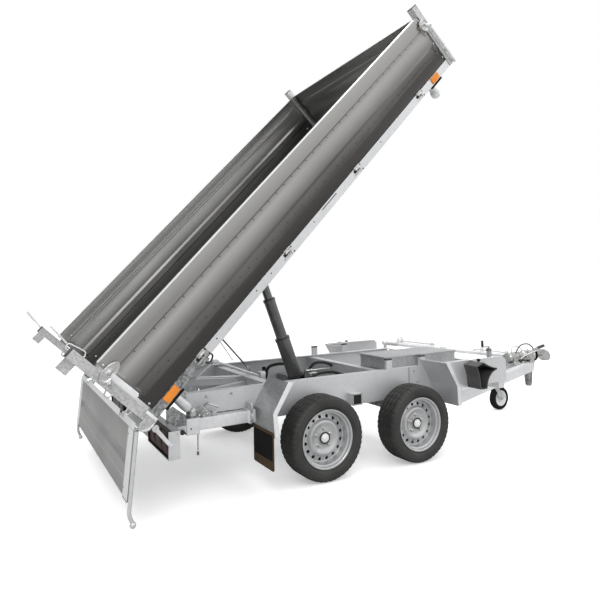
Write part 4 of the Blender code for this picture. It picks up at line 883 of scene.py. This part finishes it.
# Bed side rails: a folded channel along each side, bright ahead of the ball legs and mottled behind.
# It carries amber markers over a black cable strip, and slots where the walls' hinges hook in.
dress(mottled, "bed_rail_right", "bed_rail_left")
HINGES = (0.223, 0.979, 1.710, 2.483)
SKIN_OUT, RAIL_OUT, SLOT_OUT, HOOK_OUT = 0.9159, 0.9160, 0.9165, 0.9185
for hand, side in HANDS:
    skin = block(f"rail_skin_{hand}", (0.262, side * 0.9151, 0.2625), (2.874, side * SKIN_OUT, 0.3128),
                 0.0002, 1)
    settle(skin, bright, "bed")
    # The hinge slots and holes are flat black plates that paint the shade in them.
    dark = []
    for u in HINGES:
        dark.append(block("slot", (u - 0.040, side * RAIL_OUT, 0.286),
                          (u + 0.006, side * SLOT_OUT, 0.305), 0.0002, 1))
        dark += [stud("hole", (u + 0.034, side * SKIN_OUT, w), 0.0050, 0.0008, side=side, sides=12,
                      crown=0.1) for w in (0.270, 0.304)]
    dark += [stud("hole", (u, side * SKIN_OUT, 0.292), 0.0042, 0.0008, side=side, sides=12, crown=0.1)
             for u in (0.339, 0.681, 0.814, 1.232, 1.982)]
    dark += [block("slot", (1.327, side * RAIL_OUT, 0.298), (1.478, side * SLOT_OUT, 0.303), 0.0002, 1)]
    settle(join(f"rail_slot_shades_{hand}", dark), shadow_black, "bed")
    pieces = []
    for u in HINGES:
        pieces += [block("clip", (u - 0.052, side * RAIL_OUT, 0.276),
                         (u + 0.016, side * HOOK_OUT, 0.283), 0.0008, 1),
                   bent("hook", eased([(u + 0.014, side * 0.9180, 0.272),
                                       (u + 0.016, side * 0.9190, 0.296),
                                       (u - 0.004, side * 0.9190, 0.303),
                                       (u - 0.010, side * 0.9180, 0.290)]), 0.0032)]
    settle(smooth(join(f"rail_hooks_{hand}", pieces), 40), zinc, "bed")
    for number, (u0, u1) in enumerate(((-0.066, 0.024), (2.642, 2.730))):
        lens = block(f"side_marker_{hand}_{number}", (u0, side * SLOT_OUT, 0.2665),
                     (u1, side * 0.9235, 0.3095), 0.0030, 3)
        settle(smooth(lens), amber_lens, "bed")
        strip = block(f"marker_strip_{hand}_{number}", (u0 - 0.028, side * 0.902, 0.2475),
                      (u1 + 0.014, side * 0.918, 0.2615), 0.002)
        settle(strip, flap_rubber, "bed")
    hook = bent(f"rope_hook_{hand}", eased(upright(side * 0.905, (0.262, 0.262), (0.262, 0.244),
                                                   (0.236, 0.232), (0.214, 0.240), (0.212, 0.250))),
                0.0055)
    settle(smooth(hook, 50), black_plastic_and_shade, "bed")

# Corner posts: square galvanised tubes with black push-in caps. A hinge plate for the tailgate is
# bolted to each rear post's foot, and a black strip across the sill behind it paints the shade in the
# gap.
post_zinc = finish("post zinc", (0.40, 0.405, 0.40), (0.60, 0.605, 0.60), (0.46, 0.32), 0.65,
                   zinc_flakes, {"Flake Scale": 120, "Cloud Scale": 12.0, "Flake Share": 0.40},
                   bump=0.03)
dress(post_zinc, "rear_post_right", "rear_post_left", "front_post_right", "front_post_left")
POST_OUT = 0.9203
for hand, side in HANDS:
    for end, u, w in (("rear", -0.175, 0.800), ("front", 2.901, 0.735)):
        cap = block(f"post_cap_{end}_{hand}", (u - 0.026, side * 0.869, w + 0.0002),
                    (u + 0.026, side * 0.921, w + 0.0060), 0.0022)
        settle(cap, black_plastic_and_shade, "bed")
    outline = [(-0.151, 0.263), (-0.171, 0.257), (-0.218, 0.256), (-0.236, 0.270), (-0.246, 0.288),
               (-0.245, 0.303), (-0.238, 0.311), (-0.221, 0.320), (-0.180, 0.312), (-0.151, 0.312)]
    plain = plate(f"hinge_plate_{hand}", upright(side * POST_OUT, *outline), (0, side * 0.005, 0), 0.0012)
    pin = stud("pin", (-0.238, side * 0.905, 0.300), 0.0095, 0.024, side=side, sides=20)
    settle(smooth(join(f"hinge_plate_{hand}", [plain, pin]), 40), post_zinc, "bed")
    rim = bent("rim", eased(upright(side * 0.9255, (-0.176, 0.262), (-0.214, 0.262), (-0.240, 0.288),
                                    (-0.232, 0.308))), 0.0032)
    bar = block("bar", (-0.166, side * POST_OUT, 0.262), (-0.150, side * 0.9290, 0.332), 0.0015)
    settle(smooth(join(f"hinge_edge_{hand}", [rim, bar]), 40), white_zinc_and_highlight, "bed")
    bolts = [stud("bolt", (u, side * 0.9253, w), 0.0065, 0.006, side=side)
             for u, w in ((-0.178, 0.272), (-0.206, 0.296))]
    settle(join(f"hinge_bolts_{hand}", bolts), zinc, "bed")
    catch = [bent("catch", eased(upright(side * 0.9265, (-0.196, 0.516), (-0.222, 0.526),
                                         (-0.222, 0.548), (-0.200, 0.556))), 0.0048),
             stud("bolt", (-0.176, side * POST_OUT, 0.552), 0.0095, 0.010, side=side),
             block("foot", (-0.2000, side * POST_OUT, 0.508), (-0.184, side * 0.9290, 0.560), 0.0015)]
    settle(smooth(join(f"post_catch_{hand}", catch), 40), zinc, "bed")
# A flat black strip on the sill's rear face paints the shade of the gap under it.
sill_shade = block("sill_painted_shade", (-0.2035, -0.860, 0.2380), (-0.2003, 0.860, 0.3040), 0.0010)
settle(sill_shade, black_plastic_and_shade, "bed")

# Walls: pressed steel sheet with two long recesses and flanged edges, in dark zinc whose colour is
# painted dark at the foot and light above as painted shade and painted reflection, under a top flange
# painted white as a highlight.
drawn_sheet, taken, given = effect("rolled sheet", {"Scale": 3.0, "Painted Shade Edge": 0.0, "Painted Shade Share": 0.0})
broad = node(drawn_sheet, "TexNoise", {"Detail": 4})
streak = node(drawn_sheet, "TexNoise", {"Scale": 90, "Detail": 4})
wire(drawn_sheet, (taken, "Vector", broad, "Vector"), (taken, "Scale", broad, "Scale"),
     (taken, "Vector", streak, "Vector"))
# These nodes paint shade and reflection: below a given height in the bed's frame the colour is pushed
# dark, above it light, mixed with the noise by a given share.
height_of = node(drawn_sheet, "SeparateXYZ")
above = node(drawn_sheet, "Math", operation="SUBTRACT")
painted_shade_band = node(drawn_sheet, "MapRange", {"From Min": -0.150, "From Max": 0.150})
share = node(drawn_sheet, "Mix")
wire(drawn_sheet, (taken, "Vector", height_of, "Vector"), (height_of, "Z", above, 0),
     (taken, "Painted Shade Edge", above, 1), (above, 0, painted_shade_band, "Value"), (taken, "Painted Shade Share", share, "Factor"),
     (broad, "Fac", share, "A"), (painted_shade_band, "Result", share, "B"), (share, "Result", given, "Shade"),
     (streak, "Fac", given, "Height"))
wall_zinc = finish("wall sheet, painted shade at foot", (0.062, 0.060, 0.057), (0.330, 0.325, 0.315), (0.36, 0.27), 0.85,
                   drawn_sheet, {"Scale": 1.4, "Painted Shade Edge": 0.470, "Painted Shade Share": 0.78}, bump=0.03)
# The mapping puts the painted shade in the bed's frame, so that it runs up the tilted walls.
to_bed = BED.inverted()
wall_zinc.node_tree.nodes["Mapping"].inputs["Rotation"].default_value = to_bed.to_euler()
wall_zinc.node_tree.nodes["Mapping"].inputs["Location"].default_value = to_bed.to_translation()
WALL_W, WALL_H, WALL_OUT, WALL_U = 0.3175, 0.352, 0.915, (-0.134, 2.872)
PRESSING = ((0.074, 0), (0.081, 1), (0.124, 1), (0.142, 0), (0.203, 0), (0.226, 1), (0.263, 1),
            (0.272, 0))


def pressed(name, u0, u1, h, lines, depth, flange, lip, ends=(0.026, 0.036)):
    """A sheet in its own XZ plane facing -Y, with recesses pressed in and its edges folded back."""
    bpy.ops.object.select_all(action="DESELECT")
    bpy.ops.mesh.primitive_plane_add(size=1, location=((u0 + u1) / 2, 0, h / 2),
                                     rotation=(math.pi / 2, 0, 0))
    obj = bpy.context.object
    obj.name = name
    obj.scale = (u1 - u0, h, 1)
    bpy.ops.object.transform_apply(location=True, rotation=True, scale=True)
    edit()
    for z, _ in lines:
        bpy.ops.mesh.select_all(action="SELECT")
        bpy.ops.mesh.bisect(plane_co=(0, 0, z), plane_no=(0, 0, 1))
    for x in (u0 + ends[0], u0 + ends[1], u1 - ends[1], u1 - ends[0]):
        bpy.ops.mesh.select_all(action="SELECT")
        bpy.ops.mesh.bisect(plane_co=(x, 0, 0), plane_no=(1, 0, 0))
    deep = [z for z, down in lines if down]
    pick(obj, lambda co: u0 + ends[1] - 0.001 < co.x < u1 - ends[1] + 0.001
         and any(abs(co.z - z) < 0.0005 for z in deep))
    bpy.ops.transform.translate(value=(0, depth, 0))
    pick(obj, lambda co: co.z > h - 0.0005)
    extrude((0, flange, 0))
    extrude((0, 0, -lip))
    pick(obj, lambda co: co.z < 0.0005)
    extrude((0, flange, 0))
    extrude((0, 0, lip))
    for x in (u0, u1):
        pick(obj, lambda co, x=x: abs(co.x - x) < 0.0005 and co.y < 0.0005)
        extrude((0, flange - 0.001, 0))
    bpy.ops.mesh.select_all(action="SELECT")
    bpy.ops.mesh.remove_doubles(threshold=0.0002)
    outwards()
    return obj


def thicken(obj, thick, bevel=0.0):
    bpy.context.view_layer.objects.active = obj
    wall = obj.modifiers.new("sheet", "SOLIDIFY")
    wall.thickness, wall.offset, wall.use_even_offset = thick, -1, True
    bpy.ops.object.modifier_apply(modifier=wall.name)
    if bevel:
        edge = obj.modifiers.new("bend", "BEVEL")
        edge.width, edge.segments, edge.limit_method = bevel, 2, "ANGLE"
        bpy.ops.object.modifier_apply(modifier=edge.name)
    return obj


def facing(obj, matrix):
    """Turns a pressed sheet to its place, its normals made to point outwards again."""
    only(obj)
    obj.matrix_world = matrix
    bpy.ops.object.transform_apply(location=True, rotation=True, scale=True)
    edit()
    outwards()
    return obj


for hand, side in HANDS:
    body = f"side_wall_{hand}"
    sheet = pressed(f"wall_sheet_{hand}", *WALL_U, WALL_H, PRESSING, 0.012, 0.0285, 0.014)
    facing(sheet, Matrix.Translation((0, side * WALL_OUT, WALL_W)) @ Matrix.Diagonal((1, -side, 1, 1)))
    thicken(sheet, 0.0018, 0.0022)
    settle(smooth(sheet, 30), wall_zinc, body)
    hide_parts(f"side_wall_{hand}")
    # The top flange is overlaid with white zinc as a painted highlight.
    capping_highlight = block(f"wall_top_highlight_{hand}", (-0.128, side * 0.8670, 0.6697), (2.868, side * 0.9148, 0.6705),
                    0.0003, 1)
    settle(capping_highlight, white_zinc_and_highlight, body)
    # The rivets are black studs that paint the shade of their dimples.
    dots = [stud("rivet", (0.020 + 0.0725 * k, side * 0.9032, WALL_W + t), 0.0034, 0.0018, side=side,
                 sides=8, crown=0.3) for k in range(38) for t in (0.0925, 0.2560)]
    settle(join(f"wall_rivet_shades_{hand}", dots), black_plastic_and_shade, body)
    bolts = [stud("bolt", (u, side * 0.9152, WALL_W + t), 0.0072, 0.0045, side=side, sides=14, crown=0.45)
             for u in (-0.122, 2.860) for t in (0.0275, 0.1425, 0.2425, 0.3275)]
    bolts += [stud("bolt", (u, side * 0.8835, WALL_W + t), 0.0072, 0.0045, side=-side, sides=14,
                   crown=0.45) for u in (-0.070, 2.806) for t in (0.0350, 0.2850)]
    settle(smooth(join(f"wall_bolts_{hand}", bolts), 50), zinc, body)
    pins = [stud("knuckle", (u - 0.026, side * 0.925, 0.302), 0.0060, 0.052, "X", 1, 14, 0.2)
            for u in HINGES]
    pins += [block("leaf", (u - 0.026, side * RAIL_OUT, 0.303), (u + 0.026, side * 0.9215, 0.3185),
                   0.0015) for u in HINGES]
    settle(smooth(join(f"wall_knuckles_{hand}", pins), 40), zinc, body)

# Wall latches: a plated cam disc at each end of each wall is turned by a flat blade at the rear and by
# a cranked rod at the front, whose lower half is a stay on the post. A looped spring pin and a rod with
# a thick grip are fixed to the left rear post.
LATCH_W, DISC_OUT, BLADE_OUT, ROD_OUT = 0.6015, 0.9290, 0.9342, 0.9375
disc_profile = [(0, 0.0112), (0.0080, 0.0112), (0.0100, 0.0060), (0.0160, 0.0036), (0.0340, 0.0026),
                (0.0405, 0.0062), (0.0455, 0.0048), (0.0465, 0.0010), (0.0455, -0.0026), (0, -0.0026)]
for hand, side in HANDS:
    body = f"side_wall_{hand}"
    for end, u, inward, scale in (("rear", -0.130, 1, 1.0), ("front", 2.868, -1, 0.913)):
        disc = spun(f"cam_disc_{end}_{hand}", [(r * scale, side * t) for r, t in disc_profile], 44,
                    (u, side * DISC_OUT, LATCH_W))
        if end == "rear":
            edit()
            bpy.ops.mesh.select_all(action="SELECT")
            bpy.ops.transform.resize(value=(1.38, 1, 0.66), center_override=(u, side * DISC_OUT, LATCH_W))
            edit("OBJECT")
        boss = stud("boss", (u + inward * 0.022, side * 0.9135, LATCH_W), 0.0155, 0.0130, side=side,
                    sides=20, crown=0.1)
        nut = stud("nut", (u, side * 0.9400, LATCH_W), 0.0100, 0.0070, side=side)
        tooth = block("tooth", (u - 0.010, side * 0.9262, 0.553), (u + 0.012, side * 0.9310, 0.566),
                      0.002)
        settle(smooth(join(f"cam_disc_{end}_{hand}", [disc, boss, nut, tooth]), 40), zinc, body)
        if end == "front":
            bends = ((u + 0.004, 0.598), (2.900, 0.578), (2.909, 0.540), (2.915, 0.394))
            rod = bent(f"latch_rod_{hand}", eased(upright(side * ROD_OUT, *bends)), 0.0088, 4)
            settle(smooth(rod, 50), white_zinc_and_highlight, body)
            stay = bent("stay", upright(side * ROD_OUT, (2.9152, 0.3905), (2.919, 0.257)), 0.0088, 4)
            feet = [stud("foot", (2.917, side * 0.9213, w), 0.0070, 0.0120, side=side, sides=14)
                    for w in (0.365, 0.280)]
            settle(smooth(join(f"latch_stay_{hand}", [stay] + feet), 50), white_zinc_and_highlight, "bed")
        else:
            outline = ((-0.141, 0.590), (-0.1455, 0.470), (-0.1440, 0.424), (-0.130, 0.4165),
                       (-0.1165, 0.425), (-0.1165, 0.470), (-0.120, 0.590))
            blade = plate(f"latch_blade_{hand}", upright(side * BLADE_OUT, *outline),
                          (0, side * 0.0045, 0), 0.0012)
            fold = block("fold", (-0.1445, side * 0.9388, 0.420), (-0.1405, side * 0.9425, 0.560), 0.001)
            settle(join(f"latch_blade_{hand}", [blade, fold]), white_zinc_and_highlight, body)
        x = u - inward * 0.034
        pin = [stud("pin", (x, side * 0.9345, 0.5720), 0.0065, 0.022, side=side, sides=14),
               stud("collar", (x, side * 0.9330, 0.5720), 0.0105, 0.006, side=side, sides=18)]
        settle(smooth(join(f"latch_pin_{end}_{hand}", pin), 40), white_zinc_and_highlight, body)
STRAP_Y, GRIP_Y = 0.860, 0.930
strap = bent("latch_strap", eased(upright(STRAP_Y, (-0.113, 0.767), (-0.121, 0.683), (-0.134, 0.590))),
             0.0075, 4)
loop = bent("spring_loop", eased(upright(STRAP_Y, (-0.158, 0.575), (-0.125, 0.582), (-0.107, 0.511),
                                         (-0.093, 0.434), (-0.135, 0.413), (-0.167, 0.501),
                                         (-0.167, 0.561))), 0.0058, 3)
root = stud("root", (-0.163, 0.8688, 0.570), 0.0120, 0.0140, side=-1, sides=20)
rise = bent("spring_rod", eased(upright(GRIP_Y, (-0.173, 0.765), (-0.158, 0.830), (-0.140, 0.945))),
            0.0060, 3)
tip = bent("rod_grip", upright(GRIP_Y, (-0.153, 0.868), (-0.139, 0.952)), 0.0110, 3)
settle(smooth(join("latch_strap", [strap, loop, root]), 50), white_zinc_and_highlight, "bed")
settle(smooth(join("spring_rod", [rise, tip]), 50), white_zinc_and_highlight, "bed")

# Front wall: the same pressed sheet between the front posts, bolted to them through two stiles. It
# closes the load space and doesn't move.
front_sheet = pressed("front_sheet", -0.8695, 0.8695, 0.3695,
                      [(z + 0.0175, down) for z, down in PRESSING], 0.010, 0.0185, 0.012,
                      ends=(0.030, 0.045))
facing(front_sheet, Matrix.Translation((2.9085, 0, 0.300)) @ Matrix.Rotation(math.pi / 2, 4, "Z"))
thicken(front_sheet, 0.0018, 0.0022)
front_zinc = finish("front wall sheet", (0.150, 0.149, 0.144), (0.200, 0.198, 0.190), (0.40, 0.30),
                    0.80, drawn_sheet, {"Scale": 1.6}, bump=0.03)
settle(smooth(front_sheet, 30), front_zinc, "bed")
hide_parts("front_wall")
stiles = [block("stile", (2.8880, y - 0.016, 0.3055), (2.8905, y + 0.016, 0.6690), 0.001)
          for y in (-0.852, 0.852)]
settle(join("front_stiles", stiles), front_zinc, "bed")
heads = [stud("bolt", (2.8880, y, w), 0.0065, 0.004, "X", -1, 14, 0.45) for y in (-0.840, 0.840)
         for w in (0.34, 0.50, 0.645)]
settle(smooth(join("front_wall_bolts", heads), 50), zinc, "bed")

# Tailgate: one pressed sheet with a single groove, a proud stile down each side and a white flange
# along its hinges. Its two side rods end in balls that drop into the posts' hooks when it is shut.
GATE_HINGE, GATE_SWING = (-0.235, 0, 0.300), math.radians(-128.1)
GATE = BED @ Matrix.Translation(GATE_HINGE) @ Matrix.Rotation(GATE_SWING, 4, "Y")
FRAMES["tailgate"] = GATE
gate_zinc = finish("tailgate zinc", (0.28, 0.28, 0.276), (0.36, 0.36, 0.355), (0.40, 0.28), 0.80,
                   drawn_sheet, {"Scale": 2.2}, bump=0.03)
gate = pressed("tailgate_sheet", -0.8985, 0.8985, 0.337,
               ((0.136, 0), (0.148, 1), (0.186, 1), (0.196, 0)), 0.016, 0.0245, 0.012,
               ends=(0.104, 0.124))
facing(gate, Matrix.Translation((0.025, 0, 0.014)) @ Matrix.Rotation(math.pi / 2, 4, "Z"))
thicken(gate, 0.0016, 0.0016)
settle(smooth(gate, 30), gate_zinc, "tailgate")
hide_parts("tailgate")
skin = block("tailgate_back", (0.0006, -0.896, 0.016), (0.0018, 0.896, 0.349), 0.0004, 1)
settle(skin, gate_zinc, "tailgate")
STILE_Y = 0.8485
stiles = [block("stile", (0.0252, s * STILE_Y - 0.0495, 0.016), (0.0282, s * STILE_Y + 0.0495, 0.350),
                0.0012) for s in (-1, 1)]
for low, high in ((-0.896, -0.656), (-0.534, 0.534), (0.656, 0.896)):
    stiles.append(plate("flange", [(0.0262, low, 0.0142), (0.0200, low, -0.0200), (0.0200, high, -0.0200),
                                   (0.0262, high, 0.0142)], (-0.0022, 0, 0), 0.0005))
stiles.append(block("fold", (-0.0010, -0.8980, 0.0120), (0.0262, 0.8980, 0.0139), 0.0006, 1))
# A thin white strip paints the highlight on the sheet's step.
stiles.append(block("crease_highlight", (0.0252, -0.792, 0.2680), (0.0259, 0.792, 0.2696), 0.0002, 1))
settle(join("tailgate_stiles", stiles), white_zinc_and_highlight, "tailgate")
# Flat black paints shade on the stiles' tops, along one edge and in four holes.
cap_shades = [block("cap", (0.002, s * STILE_Y - 0.046, 0.3502), (0.0280, s * STILE_Y + 0.046, 0.3545),
              0.0010) for s in (-1, 1)]
cap_shades += [block("edge", (0.0010, 0.8988, 0.016), (0.0240, 0.8998, 0.350), 0.0003, 1)]
cap_shades += [stud("hole", (0.0282, s * 0.812, z), 0.0040, 0.0008, "X", 1, 10, 0.1) for s in (-1, 1)
         for z in (0.048, 0.306)]
settle(join("tailgate_cap_shades", cap_shades), shadow_black, "tailgate")
swing = []
for s in (-1, 1):
    y = s * 0.9055
    swing.append(bent("rod", eased([(0.012, y, 0.018), (0.012, y, 0.414), (-0.012, y, 0.456)], 8),
                      0.0100, 5))
    swing.append(spun("knob", [(0, -0.0165), (0.0080, -0.0145), (0.0135, -0.0090), (0.0158, 0),
                               (0.0135, 0.0090), (0.0080, 0.0145), (0, 0.0165)], 24, (-0.012, y, 0.461),
                      axis="Z"))
    swing.append(stud("knuckle", (0, s * 0.5655, 0), 0.0112, 0.0590, side=s, sides=20, crown=0.1))
    swing.append(block("tongue", (0.001, s * 0.595 - 0.025, 0.000), (0.009, s * 0.595 + 0.025, 0.028),
                       0.001))
settle(smooth(join("tailgate_rods", swing), 50), bright, "tailgate")

# Floor of the studio, a soft key lamp on the camera's side, a broad lamp overhead and a weak one in
# front. Metal mirrors the pale world as a light ceiling over a greyer horizon, brightest towards the
# camera's side.
bpy.ops.object.select_all(action="DESELECT")
bpy.ops.mesh.primitive_plane_add(size=60)
ground = bpy.context.object
ground.name = "studio_floor"
paper = bpy.data.materials.new("studio paper")
paper.use_nodes = True
tree = paper.node_tree
tree.nodes.remove(tree.nodes["Principled BSDF"])
matt, glow, both = (tree.nodes.new(k)
                    for k in ("ShaderNodeBsdfDiffuse", "ShaderNodeEmission", "ShaderNodeAddShader"))
rays = node(tree, "LightPath")
lift = node(tree, "Math", {1: 0.38}, operation="MULTIPLY")
shade = node(tree, "Mix", {"A": (0.80, 0.80, 0.80, 1), "B": (0.46, 0.46, 0.46, 1)}, data_type="RGBA")
wire(tree, (rays, "Is Glossy Ray", shade, "Factor"), (shade, "Result", matt, "Color"),
     (rays, "Is Camera Ray", lift, 0), (lift, 0, glow, "Strength"), (matt, 0, both, 0),
     (glow, 0, both, 1), (both, 0, tree.nodes["Material Output"], "Surface"))
ground.data.materials.append(paper)

world = bpy.data.worlds.new("studio")
bpy.context.scene.world = world
world.use_nodes = True
tree = world.node_tree
sky = tree.nodes["Background"]
rays = node(tree, "LightPath")
where = node(tree, "TexCoord")
up = node(tree, "SeparateXYZ")
dome = node(tree, "ValToRGB")
dome.color_ramp.elements[0].position, dome.color_ramp.elements[1].position = 0.0, 0.75
dome.color_ramp.elements[0].color = (0.50, 0.50, 0.50, 1)
dome.color_ramp.elements[1].color = (1.0, 1.0, 1.0, 1)
mixed = node(tree, "Mix", {"B": (1, 1, 1, 1)}, data_type="RGBA")
wire(tree, (where, "Generated", up, "Vector"), (up, "Z", dome, "Fac"),
     (rays, "Is Camera Ray", mixed, "Factor"))
side_light = node(tree, "MapRange", {"From Min": 0.1, "From Max": -1.0, "To Min": 1.0, "To Max": 1.55})
lit = node(tree, "VectorMath", operation="SCALE")
wire(tree, (up, "Y", side_light, "Value"), (dome, "Color", lit, 0), (side_light, "Result", lit, "Scale"),
     (lit, "Vector", mixed, "A"), (mixed, "Result", sky, "Color"))

for name, at, aim, size, power in (("key", (-4.5, -5.0, 5.5), (-0.2, 0, 0.9), 3.5, 150),
                                   ("overhead", (0.5, 0.5, 6.5), (0, 0, 0), 5.0, 220),
                                   ("front", (5.5, -3.0, 3.5), (0.5, 0, 0.8), 3.0, 35)):
    bpy.ops.object.light_add(type="AREA", location=at)
    lamp = bpy.context.object
    lamp.name = name
    lamp.data.energy, lamp.data.size = power, size
    lamp.rotation_euler = (Vector(aim) - Vector(at)).to_track_quat("-Z", "Y").to_euler()

# Camera at the photographer's place: rear right of the trailer, a little above the wheels, looking
# slightly upwards. A lens shift brings the trailer to the middle.
bpy.ops.object.camera_add(location=(-2.6442, -3.607, 1.182), rotation=(math.pi / 2 + 0.060, 0, -0.518))
camera = bpy.context.object
camera.data.lens, camera.data.sensor_width = 32.05, 36
camera.data.shift_x, camera.data.shift_y = 0.0008, -0.0679
bpy.context.scene.camera = camera
bpy.context.scene.view_settings.view_transform = "Standard"
